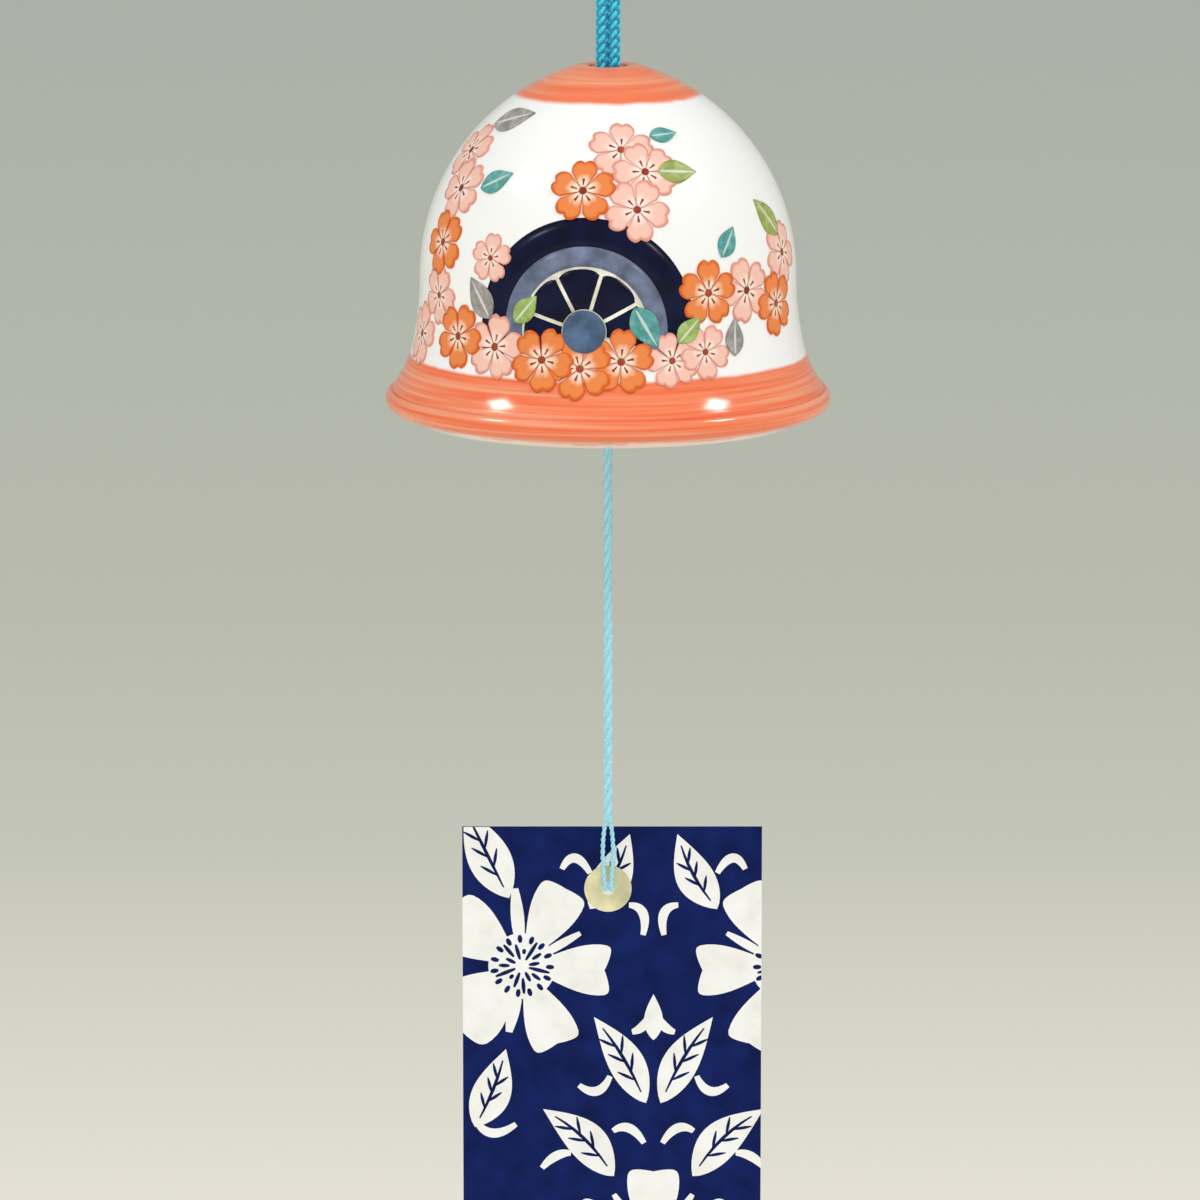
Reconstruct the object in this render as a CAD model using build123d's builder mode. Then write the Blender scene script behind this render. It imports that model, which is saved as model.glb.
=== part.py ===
from build123d import *
import os
from math import atan2, degrees, isclose, radians, sqrt, tan

# A porcelain wind bell that hangs by a doubled cord, with a clapper on a string and a paper strip below.
# Millimetres, +Z up. The origin is where the hook bears, at the inside top of the hanging loop.

# Share of the shorter run that a bend in a cord takes up
bend_share = 0.45

# Room left between pieces that turn on each other, and between a knot and the hole it sits in
seat_clearance = 0.3

# Hanging cord: one cord, doubled, whose two legs run side by side through the crown
cord_diameter = 2.1
leg_spacing = 2.2
hook_radius = 2.5
loop_lean = 6.0
loop_crest = 0.4
hanging_drop = 45.0

# Bell: heights are above its foot, radii are outside unless they say otherwise
bell_height = 58.9
crown_radius = 5.0
waist_radius = 31.25
waist_height = 24.0
band_radius = 32.4
band_height = 13.0
rim_radius = 37.0
rim_height = 4.1
lip_overhang = 1.0
lip_depth = 2.1
lip_return = 1.35
foot_setback = 5.0
foot_width = 2.7
foot_round = 0.8
wall = 3.4
crown_hole_radius = 3.2
crown_hole_round = 0.5

# Knots
stopper_knot_radius = 4.5
hitch_radius = 1.7
clapper_knot_radius = 1.6
end_knot_radius = 1.5

# Clapper and the twisted string that carries it and the strip
string_diameter = 1.6
string_clearance = 0.3
clapper_drop = 43.5
clapper_radius = 11.0
clapper_height = 8.0
clapper_round = 2.5
string_length = 69.0

# Paper strip, its hole, the patch around it and the two string ends that hold it
strip_width = 50.5
strip_length = 180.0
strip_thickness = 0.5
strip_offset = 0.7
strip_gap = 1.8
hole_drop = 10.6
patch_radius = 4.0
patch_thickness = 0.2
end_diameter = 0.8
end_clearance = 0.25
end_spread = 0.95
end_bend = 0.9

# Levels that follow from the sizes
cord_radius = cord_diameter / 2
string_radius = string_diameter / 2
end_radius = end_diameter / 2
crown_z = -hanging_drop
foot_z = crown_z - bell_height
waist_z = foot_z + waist_height

# The dome is one arc that stands upright at the waist and ends at the edge of the crown
dome_run = waist_radius - crown_radius
dome_rise = bell_height - waist_height
dome_arc = (dome_run**2 + dome_rise**2) / (2 * dome_run)
dome_centre = waist_radius - dome_arc
inner_arc = dome_arc - wall
hole_under_z = waist_z + sqrt(inner_arc**2 - (crown_hole_radius - dome_centre)**2)

# Each knot sits under the round edge of the hole that it is too large to pass
stopper_reach = stopper_knot_radius + seat_clearance
stopper_z = hole_under_z - sqrt(stopper_reach**2 - crown_hole_radius**2)
hitch_z = stopper_z - stopper_knot_radius - seat_clearance - hitch_radius
clapper_bore_radius = string_radius + string_clearance
clapper_under_z = hitch_z - clapper_drop
clapper_knot_reach = clapper_knot_radius + seat_clearance
clapper_knot_z = clapper_under_z - sqrt(clapper_knot_reach**2 - clapper_bore_radius**2)
strip_pivot_z = clapper_knot_z - string_length
strip_top_z = strip_pivot_z - strip_gap
strip_front_y = end_radius + end_clearance + patch_thickness
strip_back_y = strip_front_y + strip_thickness

os.makedirs("parts", exist_ok=True)


def knot(level, radius, name):
    """A drawn-up knot, round enough to turn in its seat."""
    with BuildPart(Plane.XY.offset(level)) as ball:
        Sphere(radius)
    ball.part.label = name
    export_step(ball.part, f"parts/{name}.step")


def straight_string(top, bottom, name):
    """A taut stretch of string, with a round lower end to turn on."""
    with BuildPart() as run:
        with BuildSketch(Plane.XZ) as half:
            with BuildLine() as edge:
                side = Line((string_radius, bottom), (string_radius, top))
                Line(side @ 1, (0, top))
                Line((0, top), (0, bottom - string_radius))
                RadiusArc((0, bottom - string_radius), side @ 0, -string_radius)
            make_face()
        revolve(axis=Axis.Z)
    run.part.label = name
    export_step(run.part, f"parts/{name}.step")


def widest_bend(run, turn):
    """The largest radius of a bend that turns a cord by so many degrees at the end of a run."""
    return bend_share * run / tan(radians(turn / 2))


def is_hole_edge(edge):
    """Whether a round edge of the bell belongs to the hole in its crown."""
    return isclose(edge.radius, crown_hole_radius)


# Hanging cord: up one leg, round the hook and down the other leg to the stopper knot
loop_bend = hook_radius + cord_radius
loop_top = cord_radius
leg_x = leg_spacing / 2
shoulder_x = loop_crest / 2 + loop_bend * tan(radians(45 + loop_lean / 2))
parting_z = loop_top - (shoulder_x - leg_x) / tan(radians(loop_lean))
leg_end_z = stopper_z + stopper_knot_radius + seat_clearance
parting_bend = widest_bend(parting_z - leg_end_z, loop_lean)
right_side = [(shoulder_x, 0, loop_top), (leg_x, 0, parting_z), (leg_x, 0, leg_end_z)]
left_side = [(-x, y, z) for x, y, z in reversed(right_side)]
cord_radii = [parting_bend, loop_bend, loop_bend, parting_bend]
print("hanging cord bends", [round(r, 2) for r in cord_radii])
with BuildPart() as hanging_cord:
    with BuildLine() as cord_path:
        FilletPolyline(*left_side, *right_side, radius=cord_radii)
    with BuildSketch(Plane(origin=cord_path.line @ 0, z_dir=cord_path.line % 0)) as cord_section:
        Circle(cord_radius)
    sweep()
cord_share = hanging_cord.part.volume / (cord_section.sketch.area * cord_path.wires()[0].length)
print("hanging cord volume over section times length", round(cord_share, 4))
hanging_cord.part.label = "hanging_cord"
export_step(hanging_cord.part, "parts/hanging_cord.step")

knot(stopper_z, stopper_knot_radius, "stopper_knot")

# Bell: dome, slightly flared skirt, cove, rounded lip and foot outside, an even wall inside
shoulder_radius = rim_radius - lip_overhang
shoulder_height = rim_height + lip_depth
underlip_radius = rim_radius - lip_return
underlip_height = rim_height - lip_depth
foot_radius = rim_radius - foot_setback
with BuildPart() as bell:
    with BuildSketch(Plane.XZ) as bell_wall:
        with BuildLine() as bell_profile:
            crown = Line((crown_hole_radius, crown_z), (crown_radius, crown_z))
            dome = TangentArc((waist_radius, waist_z), crown @ 1, tangent=(0, 1))
            skirt = TangentArc(dome @ 0, (band_radius, foot_z + band_height), tangent=(0, -1))
            cove = TangentArc(skirt @ 1, (shoulder_radius, foot_z + shoulder_height), tangent=skirt % 1)
            lip = ThreePointArc(
                cove @ 1,
                (rim_radius, foot_z + rim_height),
                (underlip_radius, foot_z + underlip_height),
            )
            underlip = Line(lip @ 1, (foot_radius, foot_z))
            foot = Line(underlip @ 1, (foot_radius - foot_width, foot_z))
            inner_skirt = Line(foot @ 1, (waist_radius - wall, waist_z))
            inner_dome = RadiusArc(inner_skirt @ 1, (crown_hole_radius, hole_under_z), -inner_arc)
            Line(inner_dome @ 1, crown @ 0)
        make_face()
    revolve(axis=Axis.Z)
    hole_edges = bell.edges().filter_by(GeomType.CIRCLE).filter_by(is_hole_edge)
    fillet(hole_edges, crown_hole_round)
    foot_edges = bell.edges().filter_by(GeomType.CIRCLE).group_by(Axis.Z)[0]
    fillet(foot_edges, foot_round)
bell.part.label = "bell"
export_step(bell.part, "parts/bell.step")

# Clapper: a thick disc with a round edge, threaded on the string above its knot
knot(hitch_z, hitch_radius, "clapper_hitch")
clapper_string_end = clapper_knot_z + clapper_knot_reach + string_radius
straight_string(hitch_z - hitch_radius - seat_clearance, clapper_string_end, "clapper_string")
with BuildPart() as clapper:
    with BuildSketch(Plane.XY.offset(clapper_under_z)) as clapper_disc:
        Circle(clapper_radius)
        Circle(clapper_bore_radius, mode=Mode.SUBTRACT)
    extrude(amount=clapper_height)
    outer_edges = clapper.edges().filter_by(GeomType.CIRCLE).group_by(SortBy.RADIUS)[-1]
    fillet(outer_edges, clapper_round)
clapper.part.label = "clapper"
export_step(clapper.part, "parts/clapper.step")
knot(clapper_knot_z, clapper_knot_radius, "clapper_knot")

# String down to the strip, where its two plies part
straight_string(clapper_knot_z - clapper_knot_reach, strip_pivot_z, "strip_string")

# Strip, hung in front of its back face, with the patch that strengthens its hole
hole_z = strip_top_z - hole_drop
pair_reach = end_radius + end_clearance / 2
hole_radius = pair_reach + end_radius + end_clearance
strip_front = Plane(origin=(0, strip_front_y, strip_top_z), x_dir=(1, 0, 0), z_dir=(0, 1, 0))
with BuildPart() as strip:
    with BuildSketch(strip_front) as strip_outline:
        with Locations((strip_offset, strip_length / 2)):
            Rectangle(strip_width, strip_length)
        with Locations((0, hole_drop)):
            Circle(hole_radius, mode=Mode.SUBTRACT)
    extrude(amount=strip_thickness)
strip.part.label = "strip"
export_step(strip.part, "parts/strip.step")

with BuildPart() as hole_patch:
    with BuildSketch(strip_front) as patch_ring:
        with Locations((0, hole_drop)):
            Circle(patch_radius)
            Circle(hole_radius, mode=Mode.SUBTRACT)
    extrude(amount=-patch_thickness)
hole_patch.part.label = "hole_patch"
export_step(hole_patch.part, "parts/hole_patch.step")

# The two string ends: they part above the strip, meet again at the hole and go through it
end_top_z = strip_pivot_z - string_radius - seat_clearance
end_stop_y = strip_back_y + end_clearance
widest_z = (end_top_z + hole_z) / 2
end_lean = degrees(atan2(end_spread - pair_reach, end_top_z - widest_z))
end_radii = [widest_bend(end_top_z - widest_z, 2 * end_lean), end_bend]
print("string end bends", [round(r, 2) for r in end_radii])
for side, name in ((-1, "string_end_left"), (1, "string_end_right")):
    with BuildPart() as string_end:
        with BuildLine() as end_path:
            FilletPolyline(
                (side * pair_reach, 0, end_top_z),
                (side * end_spread, 0, widest_z),
                (side * pair_reach, 0, hole_z),
                (side * pair_reach, end_stop_y, hole_z),
                radius=end_radii,
            )
        with BuildSketch(Plane(origin=end_path.line @ 0, z_dir=end_path.line % 0)) as end_section:
            Circle(end_radius)
        sweep()
    string_end.part.label = name
    export_step(string_end.part, f"parts/{name}.step")

# Knot that ties the two ends together behind the strip
with BuildPart(Plane((0, end_stop_y + end_clearance + end_knot_radius, hole_z))) as end_knot:
    Sphere(end_knot_radius)
end_knot.part.label = "end_knot"
export_step(end_knot.part, "parts/end_knot.step")

levels = {
    "foot": foot_z,
    "stopper": stopper_z,
    "hitch": hitch_z,
    "clapper_under": clapper_under_z,
    "clapper_knot": clapper_knot_z,
    "strip_pivot": strip_pivot_z,
    "strip_top": strip_top_z,
    "hole": hole_z,
}
for name, level in levels.items():
    print(name, round(level, 3))
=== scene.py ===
import math

import bmesh
import bpy
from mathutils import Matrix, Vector


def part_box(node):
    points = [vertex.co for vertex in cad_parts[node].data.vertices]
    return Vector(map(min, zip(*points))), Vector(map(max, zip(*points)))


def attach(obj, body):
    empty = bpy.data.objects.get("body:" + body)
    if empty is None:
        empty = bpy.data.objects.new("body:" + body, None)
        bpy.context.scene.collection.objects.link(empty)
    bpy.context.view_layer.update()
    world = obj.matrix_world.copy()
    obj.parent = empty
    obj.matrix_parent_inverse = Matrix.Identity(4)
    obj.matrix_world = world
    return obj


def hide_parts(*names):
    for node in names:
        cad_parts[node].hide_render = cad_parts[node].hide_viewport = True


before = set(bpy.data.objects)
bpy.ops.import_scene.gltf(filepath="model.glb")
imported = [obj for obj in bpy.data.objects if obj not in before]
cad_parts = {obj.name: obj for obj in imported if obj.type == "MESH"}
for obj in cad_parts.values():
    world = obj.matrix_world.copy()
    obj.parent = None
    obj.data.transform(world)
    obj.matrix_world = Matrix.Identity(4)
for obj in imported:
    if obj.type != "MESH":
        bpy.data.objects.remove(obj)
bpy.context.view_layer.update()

bl_info = {
    "name": "Furin Wind Bell",
    "version": (1, 0, 0),
    "blender": (4, 5, 0),
    "location": "View3D > Sidebar > Wind Bell",
    "description": "Dresses a porcelain wind bell: glaze, enamel painting, cords and printed paper strip",
    "category": "Object",
}

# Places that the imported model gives
BELL_LOW, BELL_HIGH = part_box("bell")
CLAPPER_LOW, CLAPPER_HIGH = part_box("clapper")
CORD_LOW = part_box("hanging_cord")[0]
STRING_LOW, STRING_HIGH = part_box("strip_string")
END_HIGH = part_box("string_end_right")[1]
STRIP_LOW, STRIP_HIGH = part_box("strip")
PATCH_LOW, PATCH_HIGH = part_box("hole_patch")
HOLE_Z = (PATCH_LOW.z + PATCH_HIGH.z) / 2

# The photograph's frame, in pixels, and the sensor that the lens is counted for, in millimetres
PHOTO_PIXELS = 1200
SENSOR_MM = 36.0
# How steeply the photograph looks down at its upper and lower edges
SLOPE_ABOVE = 0.103
SLOPE_BELOW = 0.274

# Points nearer to each other than this are one, in metres
WELD = 1e-7
# How deep the foot of a coat of enamel is fused into the glaze, in metres
FUSED = 0.00002
# Steps along one turn of a strand, and sides around it
STEPS_IN_TURN = 24
SIDES_OF_STRAND = 8


def linear(code):
    """A colour written as sRGB hex, in linear light."""
    shares = [int(code[i:i + 2], 16) / 255 for i in (1, 3, 5)]
    return tuple(c / 12.92 if c <= 0.04045 else ((c + 0.055) / 1.055) ** 2.4 for c in shares)


def size_property(name, description, default):
    """A length that a user can change, in metres."""
    return bpy.props.FloatProperty(
        name=name, description=description, default=default, min=0.0, precision=5,
        subtype="DISTANCE", unit="LENGTH",
    )


def colour_property(name, description, code):
    """A colour that a user can change, given as sRGB hex."""
    return bpy.props.FloatVectorProperty(
        name=name, description=description, default=linear(code), size=3, min=0.0, max=1.0, subtype="COLOR",
    )


class BellSizes(bpy.types.PropertyGroup):
    """Sizes of the porcelain. Heights are above the foot."""

    crown_radius: size_property("Crown radius", "Flat top of the bell", 0.005)
    hole_radius: size_property("Hole radius", "Hole for the hanging cord", 0.0032)
    hole_round: size_property("Hole rounding", "Rounded edge of that hole", 0.0005)
    waist_radius: size_property("Waist radius", "Where the dome stands upright", 0.03125)
    waist_height: size_property("Waist height", "Where the dome stands upright", 0.024)
    band_radius: size_property("Band radius", "Where the cove begins", 0.0324)
    band_height: size_property("Band height", "Where the cove begins", 0.013)
    rim_height: size_property("Rim height", "Where the lip is widest", 0.0036)
    lip_overhang: size_property("Lip overhang", "How far the lip stands out over the cove", 0.0009)
    lip_rise: size_property("Lip rise", "Top of the lip above its widest part", 0.0016)
    lip_depth: size_property("Lip depth", "Foot of the lip below its widest part", 0.0021)
    lip_return: size_property("Lip return", "How far the lip draws in below", 0.0015)
    groove: size_property("Groove", "Depth of the line turned above the lip", 0.00035)
    foot_setback: size_property("Foot setback", "How far the foot stands inside the lip", 0.005)
    foot_width: size_property("Foot width", "Width of the foot", 0.0027)
    foot_round: size_property("Foot rounding", "Rounded edges of the foot", 0.0008)
    wall: size_property("Wall", "Thickness of the dome", 0.0034)
    cap_height: size_property("Cap height", "Lower edge of the coral cap", 0.0544)
    coral_height: size_property("Coral height", "Upper edge of the coral rim", 0.0113)
    clapper_bore: size_property("Clapper bore", "Radius of the clapper's hole", 0.0011)
    clapper_round: size_property("Clapper rounding", "Rounded edges of the clapper", 0.0025)


class EnamelSizes(bpy.types.PropertyGroup):
    """Sizes of the painting on the bell."""

    thickness: size_property("Thickness", "How far a coat of enamel stands up", 0.00006)
    blossom: size_property("Blossom", "Width of a blossom", 0.0110)
    leaf: size_property("Leaf", "Length of a leaf", 0.0062)
    wheel: size_property("Wheel", "Outer radius of the cart wheel", 0.0184)
    spoke: size_property("Spoke", "Width of a spoke of the wheel", 0.0006)
    lowest: size_property("Lowest", "How near to the foot the painting may come", 0.0062)


class CordSizes(bpy.types.PropertyGroup):
    """Sizes of the cords, strings and knots."""

    cord: size_property("Cord", "Diameter of the hanging cord", 0.0021)
    leg_spacing: size_property("Leg spacing", "Distance between the two legs of the hanging cord", 0.0020)
    braid_pitch: size_property("Braid pitch", "Length of one turn of a strand in the braid", 0.0062)
    string: size_property("String", "Diameter of the twisted string", 0.0016)
    string_pitch: size_property("String pitch", "Length of one turn of the string's two plies", 0.0052)
    end: size_property("End", "Diameter of each parted ply", 0.0008)
    end_spread: size_property("End spread", "Half the distance between the parted plies", 0.00095)
    end_gap: size_property("End gap", "Half the distance between the plies at the hole", 0.000525)


class StripSizes(bpy.types.PropertyGroup):
    """Sizes of the paper strip and its print."""

    hole: size_property("Hole", "Radius of the strip's hole", 0.001175)
    ink: size_property("Ink", "How far the print stands off the paper", 0.00004)
    flower: size_property("Flower", "Radius of a printed flower", 0.0150)
    stroke: size_property("Stroke", "Width of a printed tendril", 0.0016)
    midrib: size_property("Midrib", "Width of the vein along a leaf", 0.0006)
    vein: size_property("Vein", "Width of a side vein", 0.00055)


class StageSizes(bpy.types.PropertyGroup):
    """Where the photograph was taken from, and the floor."""

    distance: size_property("Distance", "Camera to the bell's axis, level", 1.2)
    height: size_property("Height", "Camera above the bell's foot", 0.194)
    aim_drop: size_property("Aim drop", "Middle of the picture below the foot", 0.031)
    aim_left: size_property("Aim left", "Middle of the picture left of the axis", 0.00134)
    field: size_property("Field", "Width of the picture at the bell", 0.2008)
    floor_drop: size_property("Floor drop", "Floor below the strip", 0.066)


class Colours(bpy.types.PropertyGroup):
    """Colours of the bell, the cords and the strip."""

    white: colour_property("White glaze", "Porcelain under clear glaze", "#fdfdfb")
    kiln_grey: colour_property("Kiln grey", "Grey breath in the clear glaze", "#f1efe8")
    coral: colour_property("Coral glaze", "Cap and rim", "#f98a60")
    coral_deep: colour_property("Deep coral", "Where the coral brush left more colour", "#f77243")
    coral_pale: colour_property("Pale coral", "Where the coral runs thin", "#fba580")
    biscuit: colour_property("Biscuit", "Bare foot of the bell", "#efe3cb")
    biscuit_dark: colour_property("Dark biscuit", "Grain of the bare foot", "#e2d2b4")
    # This pale edge colour is partly bare porcelain and partly a painted reflection of the bright floor
    # under the lip
    bare_and_reflected_edge: colour_property("Bare edge", "Where the coral runs out under the lip", "#ffe6d5")
    orange: colour_property("Orange enamel", "Orange petals", "#f18a48")
    orange_edge: colour_property("Orange edge", "Edges of the orange petals", "#e0671f")
    orange_heart: colour_property("Orange heart", "Inside of the orange blossoms", "#fde3cb")
    pink: colour_property("Pink enamel", "Pink petals", "#fac9b8")
    pink_edge: colour_property("Pink edge", "Edges of the pink petals", "#ec9f8b")
    pink_heart: colour_property("Pink heart", "Inside of the pink blossoms", "#fdeadd")
    stamen: colour_property("Stamen", "Dots at the heart of a blossom", "#a3402a")
    navy: colour_property("Navy enamel", "Rim and cells of the wheel", "#070d2f")
    slate: colour_property("Slate enamel", "Band inside the wheel's rim", "#6e7892")
    hub: colour_property("Hub enamel", "Hub of the wheel", "#526b8a")
    cream: colour_property("Cream enamel", "Spokes of the wheel", "#f1e7cf")
    teal: colour_property("Teal enamel", "Teal leaves", "#5aa7a2")
    olive: colour_property("Olive enamel", "Olive leaves", "#a5b45f")
    green: colour_property("Green enamel", "Light green leaves", "#a3bf68")
    grey: colour_property("Grey enamel", "Grey leaves", "#a19d98")
    cord_bright: colour_property("Bright cord", "Bright strands of the braid", "#40e0fa")
    cord_dark: colour_property("Dark cord", "Dark strands of the braid", "#179cc2")
    string: colour_property("String", "Twisted string", "#adeeff")
    paper: colour_property("Paper", "Navy ground of the strip", "#10205c")
    print_white: colour_property("Print white", "Flowers and leaves on the strip", "#fbfbf7")
    patch: colour_property("Patch", "Paper around the strip's hole", "#dfdab0")
    # The backdrop's colours are painted shade, pale below and darker above, which the paper shows as a glow
    backdrop_low: colour_property("Backdrop below", "Floor and foot of the backdrop", "#eae7da")
    backdrop_lower: colour_property("Backdrop lower", "Backdrop beside the strip's top", "#c7c8bc")
    backdrop_middle: colour_property("Backdrop middle", "Middle of the backdrop", "#babdb0")
    backdrop_high: colour_property("Backdrop above", "Top of the backdrop", "#afb2a9")


class WindBell(bpy.types.PropertyGroup):
    """All that a user would change on the wind bell."""

    bell: bpy.props.PointerProperty(type=BellSizes, name="Bell", description="Sizes of the porcelain")
    enamel: bpy.props.PointerProperty(type=EnamelSizes, name="Enamel", description="Sizes of the painting")
    cord: bpy.props.PointerProperty(type=CordSizes, name="Cords", description="Sizes of cords and knots")
    strip: bpy.props.PointerProperty(type=StripSizes, name="Strip", description="Sizes of strip and print")
    stage: bpy.props.PointerProperty(type=StageSizes, name="Stage", description="View and floor")
    colours: bpy.props.PointerProperty(type=Colours, name="Colours", description="Colours of all pieces")


def settings():
    """The wind bell's own settings in this scene."""
    return bpy.context.scene.wind_bell


def node(tree, kind, inputs=None, **options):
    """Add a node, set its options, and feed its inputs: values, sockets, or nodes for their first output."""
    made = tree.nodes.new(kind)
    for option, value in options.items():
        setattr(made, option, value)
    for key, value in (inputs or {}).items():
        socket = made.inputs[key]
        if isinstance(value, bpy.types.Node):
            value = value.outputs[0]
        if isinstance(value, bpy.types.NodeSocket):
            tree.links.new(value, socket)
        elif socket.type == "RGBA":
            socket.default_value = (*value, 1.0)
        else:
            socket.default_value = value
    return made


# Materials


def new_material(name):
    """An empty material, its tree, and the place on a piece that its patterns read."""
    material = bpy.data.materials.new(name)
    material.use_nodes = True
    tree = material.node_tree
    tree.nodes.clear()
    return material, tree, node(tree, "ShaderNodeTexCoord").outputs["Object"]


def surfaced(material, look):
    """Give a material its surface, from what feeds the shader."""
    shader = node(material.node_tree, "ShaderNodeBsdfPrincipled", look)
    node(material.node_tree, "ShaderNodeOutputMaterial", {"Surface": shader})
    return material


def scaled(colour, factor):
    """A colour made darker or brighter by a factor."""
    return [min(1.0, factor * c) for c in colour]


def blend(colour, other, share):
    """A colour with a share of another in it."""
    return [(1.0 - share) * c + share * o for c, o in zip(colour, other)]


def set_stops(ramp, stops):
    """Give a colour ramp its stops, from (place, colour) pairs."""
    elements = ramp.color_ramp.elements
    elements.remove(elements[-1])
    for k, (place, colour) in enumerate(stops):
        stop = elements.new(place) if k else elements[0]
        stop.position, stop.color = place, (*colour, 1.0)


def mottled(tree, place, scale, detail, stops):
    """Inside a material: clouds in those colours, and the noise that they follow."""
    noise = node(tree, "ShaderNodeTexNoise", {"Vector": place, "Scale": scale, "Detail": detail})
    clouds = node(tree, "ShaderNodeValToRGB", {"Fac": noise})
    set_stops(clouds, stops)
    return clouds, noise


def rippled(tree, place, scale):
    """Inside a glaze: ripples left by the wheel, far finer in height than the glaze is thick."""
    noise = node(tree, "ShaderNodeTexNoise", {"Vector": place, "Scale": scale, "Detail": 1.0})
    return node(tree, "ShaderNodeBump", {"Height": noise, "Distance": 0.00003, "Strength": 0.5})


def painted_glaze():
    """Glazed porcelain, fired white with brushed coral bands: a wet gloss over the wheel's faint ripples,
    and a pale edge under the lip that is partly bare porcelain and partly a painted reflection of the floor.
    """
    material, tree, place = new_material("glazed porcelain, coral banded")
    size, colours = settings().bell, settings().colours
    # The brush went round the bell, so its streaks are long around it and about 0.6 mm high
    streaks = node(tree, "ShaderNodeMapping", {"Vector": place, "Scale": (25.0, 25.0, 1600.0)})
    coral, _ = mottled(tree, streaks, 1.0, 3.0, (
        (0.34, colours.coral_deep), (0.52, colours.coral), (0.68, colours.coral_pale),
    ))
    # The edge of a band wavers by about 0.3 mm, and colour pools along it, over about 2 mm
    waver, soft_edge = 0.0006, 0.00035
    pool_start, pool_full, pool_share = 0.0022, 0.0004, 0.6
    height = node(tree, "ShaderNodeSeparateXYZ", {0: place}).outputs["Z"]
    noise = node(tree, "ShaderNodeTexNoise", {"Vector": place, "Scale": 160.0, "Detail": 2.0})
    edge = node(tree, "ShaderNodeMath", {0: noise, 1: waver, 2: height}, operation="MULTIPLY_ADD")
    bands, pools = [], []
    for level, inward in ((size.cap_height, soft_edge), (size.coral_height, -soft_edge)):
        level += BELL_LOW.z
        bands.append(node(tree, "ShaderNodeMapRange", {
            "Value": edge, "From Min": level - inward, "From Max": level + inward,
        }, interpolation_type="SMOOTHSTEP"))
        apart = node(tree, "ShaderNodeMath", {0: edge, 1: level}, operation="SUBTRACT")
        apart = node(tree, "ShaderNodeMath", {0: apart}, operation="ABSOLUTE")
        pools.append(node(tree, "ShaderNodeMapRange", {
            "Value": apart, "From Min": pool_start, "From Max": pool_full, "To Max": pool_share,
        }))
    banded, pooled = (
        node(tree, "ShaderNodeMath", {0: cap, 1: rim}, operation="MAXIMUM") for cap, rim in (bands, pools)
    )
    deeper = node(tree, "ShaderNodeMixRGB", {"Fac": pooled, "Color1": coral, "Color2": colours.coral_deep})
    painted = node(tree, "ShaderNodeMixRGB", {"Fac": banded, "Color1": colours.white, "Color2": deeper})
    # Under the lip the coral runs out in patches, about 1 mm above the foot, to a pale edge that is partly
    # bare porcelain and partly a painted reflection of the bright floor below
    pale_edge_reach, pale_edge_fade, pale_edge_share = 0.0024, 0.0004, 0.85
    patches = node(tree, "ShaderNodeTexNoise", {"Vector": place, "Scale": 170.0, "Detail": 3.0})
    reach = node(tree, "ShaderNodeMath", {0: patches, 1: -pale_edge_reach, 2: height}, operation="MULTIPLY_ADD")
    bare_and_reflection = node(tree, "ShaderNodeMapRange", {
        "Value": reach, "From Min": BELL_LOW.z, "From Max": BELL_LOW.z - pale_edge_fade, "To Max": pale_edge_share,
    })
    base = node(tree, "ShaderNodeMixRGB", {"Fac": bare_and_reflection, "Color1": painted, "Color2": colours.bare_and_reflected_edge})
    return surfaced(material, {
        "Base Color": base, "Roughness": 0.13, "IOR": 1.5, "Normal": rippled(tree, place, 250.0),
    })


def clear_glaze():
    """Porcelain under clear glaze: white with a grey breath of kiln specks, and a wet gloss."""
    material, tree, place = new_material("glazed porcelain, clear")
    colours = settings().colours
    tint, _ = mottled(tree, place, 120.0, 3.0, ((0.35, colours.kiln_grey), (0.6, colours.white)))
    return surfaced(material, {
        "Base Color": tint, "Roughness": 0.15, "IOR": 1.5, "Normal": rippled(tree, place, 300.0),
    })


def bare_biscuit():
    """Unglazed porcelain where the foot was wiped: chalky, with a fine grain of about 0.2 mm."""
    material, tree, place = new_material("unglazed porcelain")
    colours = settings().colours
    tint, grain = mottled(tree, place, 5000.0, 2.0, ((0.3, colours.biscuit_dark), (0.6, colours.biscuit)))
    bump = node(tree, "ShaderNodeBump", {"Height": grain, "Distance": 0.00005, "Strength": 0.4})
    return surfaced(material, {"Base Color": tint, "Roughness": 0.75, "Normal": bump})


def petal_enamel(name, heart, middle, edge):
    """Overglaze enamel on a petal: pale at the heart, deeper outwards, with a drawn outline and a gloss."""
    material, tree, place = new_material(name)
    reach, across = (
        node(tree, "ShaderNodeAttribute", attribute_name=label).outputs["Fac"]
        for label in ("reach", "across")
    )
    # Brush-fed colour pools unevenly over about 1 mm
    pool = node(tree, "ShaderNodeTexNoise", {"Vector": place, "Scale": 900.0, "Detail": 2.0})
    uneven = node(tree, "ShaderNodeMath", {0: pool, 1: 0.5}, operation="SUBTRACT")
    depth = node(tree, "ShaderNodeMath", {0: uneven, 1: 0.35, 2: reach}, operation="MULTIPLY_ADD")
    wash = node(tree, "ShaderNodeValToRGB", {"Fac": depth})
    set_stops(wash, ((0.18, heart), (0.5, middle), (0.85, middle), (1.0, edge)))
    border = node(tree, "ShaderNodeMath", {0: reach, 1: across}, operation="MAXIMUM")
    line = node(tree, "ShaderNodeMapRange", {"Value": border, "From Min": 0.84, "From Max": 0.95})
    tint = node(tree, "ShaderNodeMixRGB", {"Fac": line, "Color1": wash, "Color2": edge})
    return surfaced(material, {"Base Color": tint, "Roughness": 0.34, "IOR": 1.5, "Specular IOR Level": 0.3})


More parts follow.
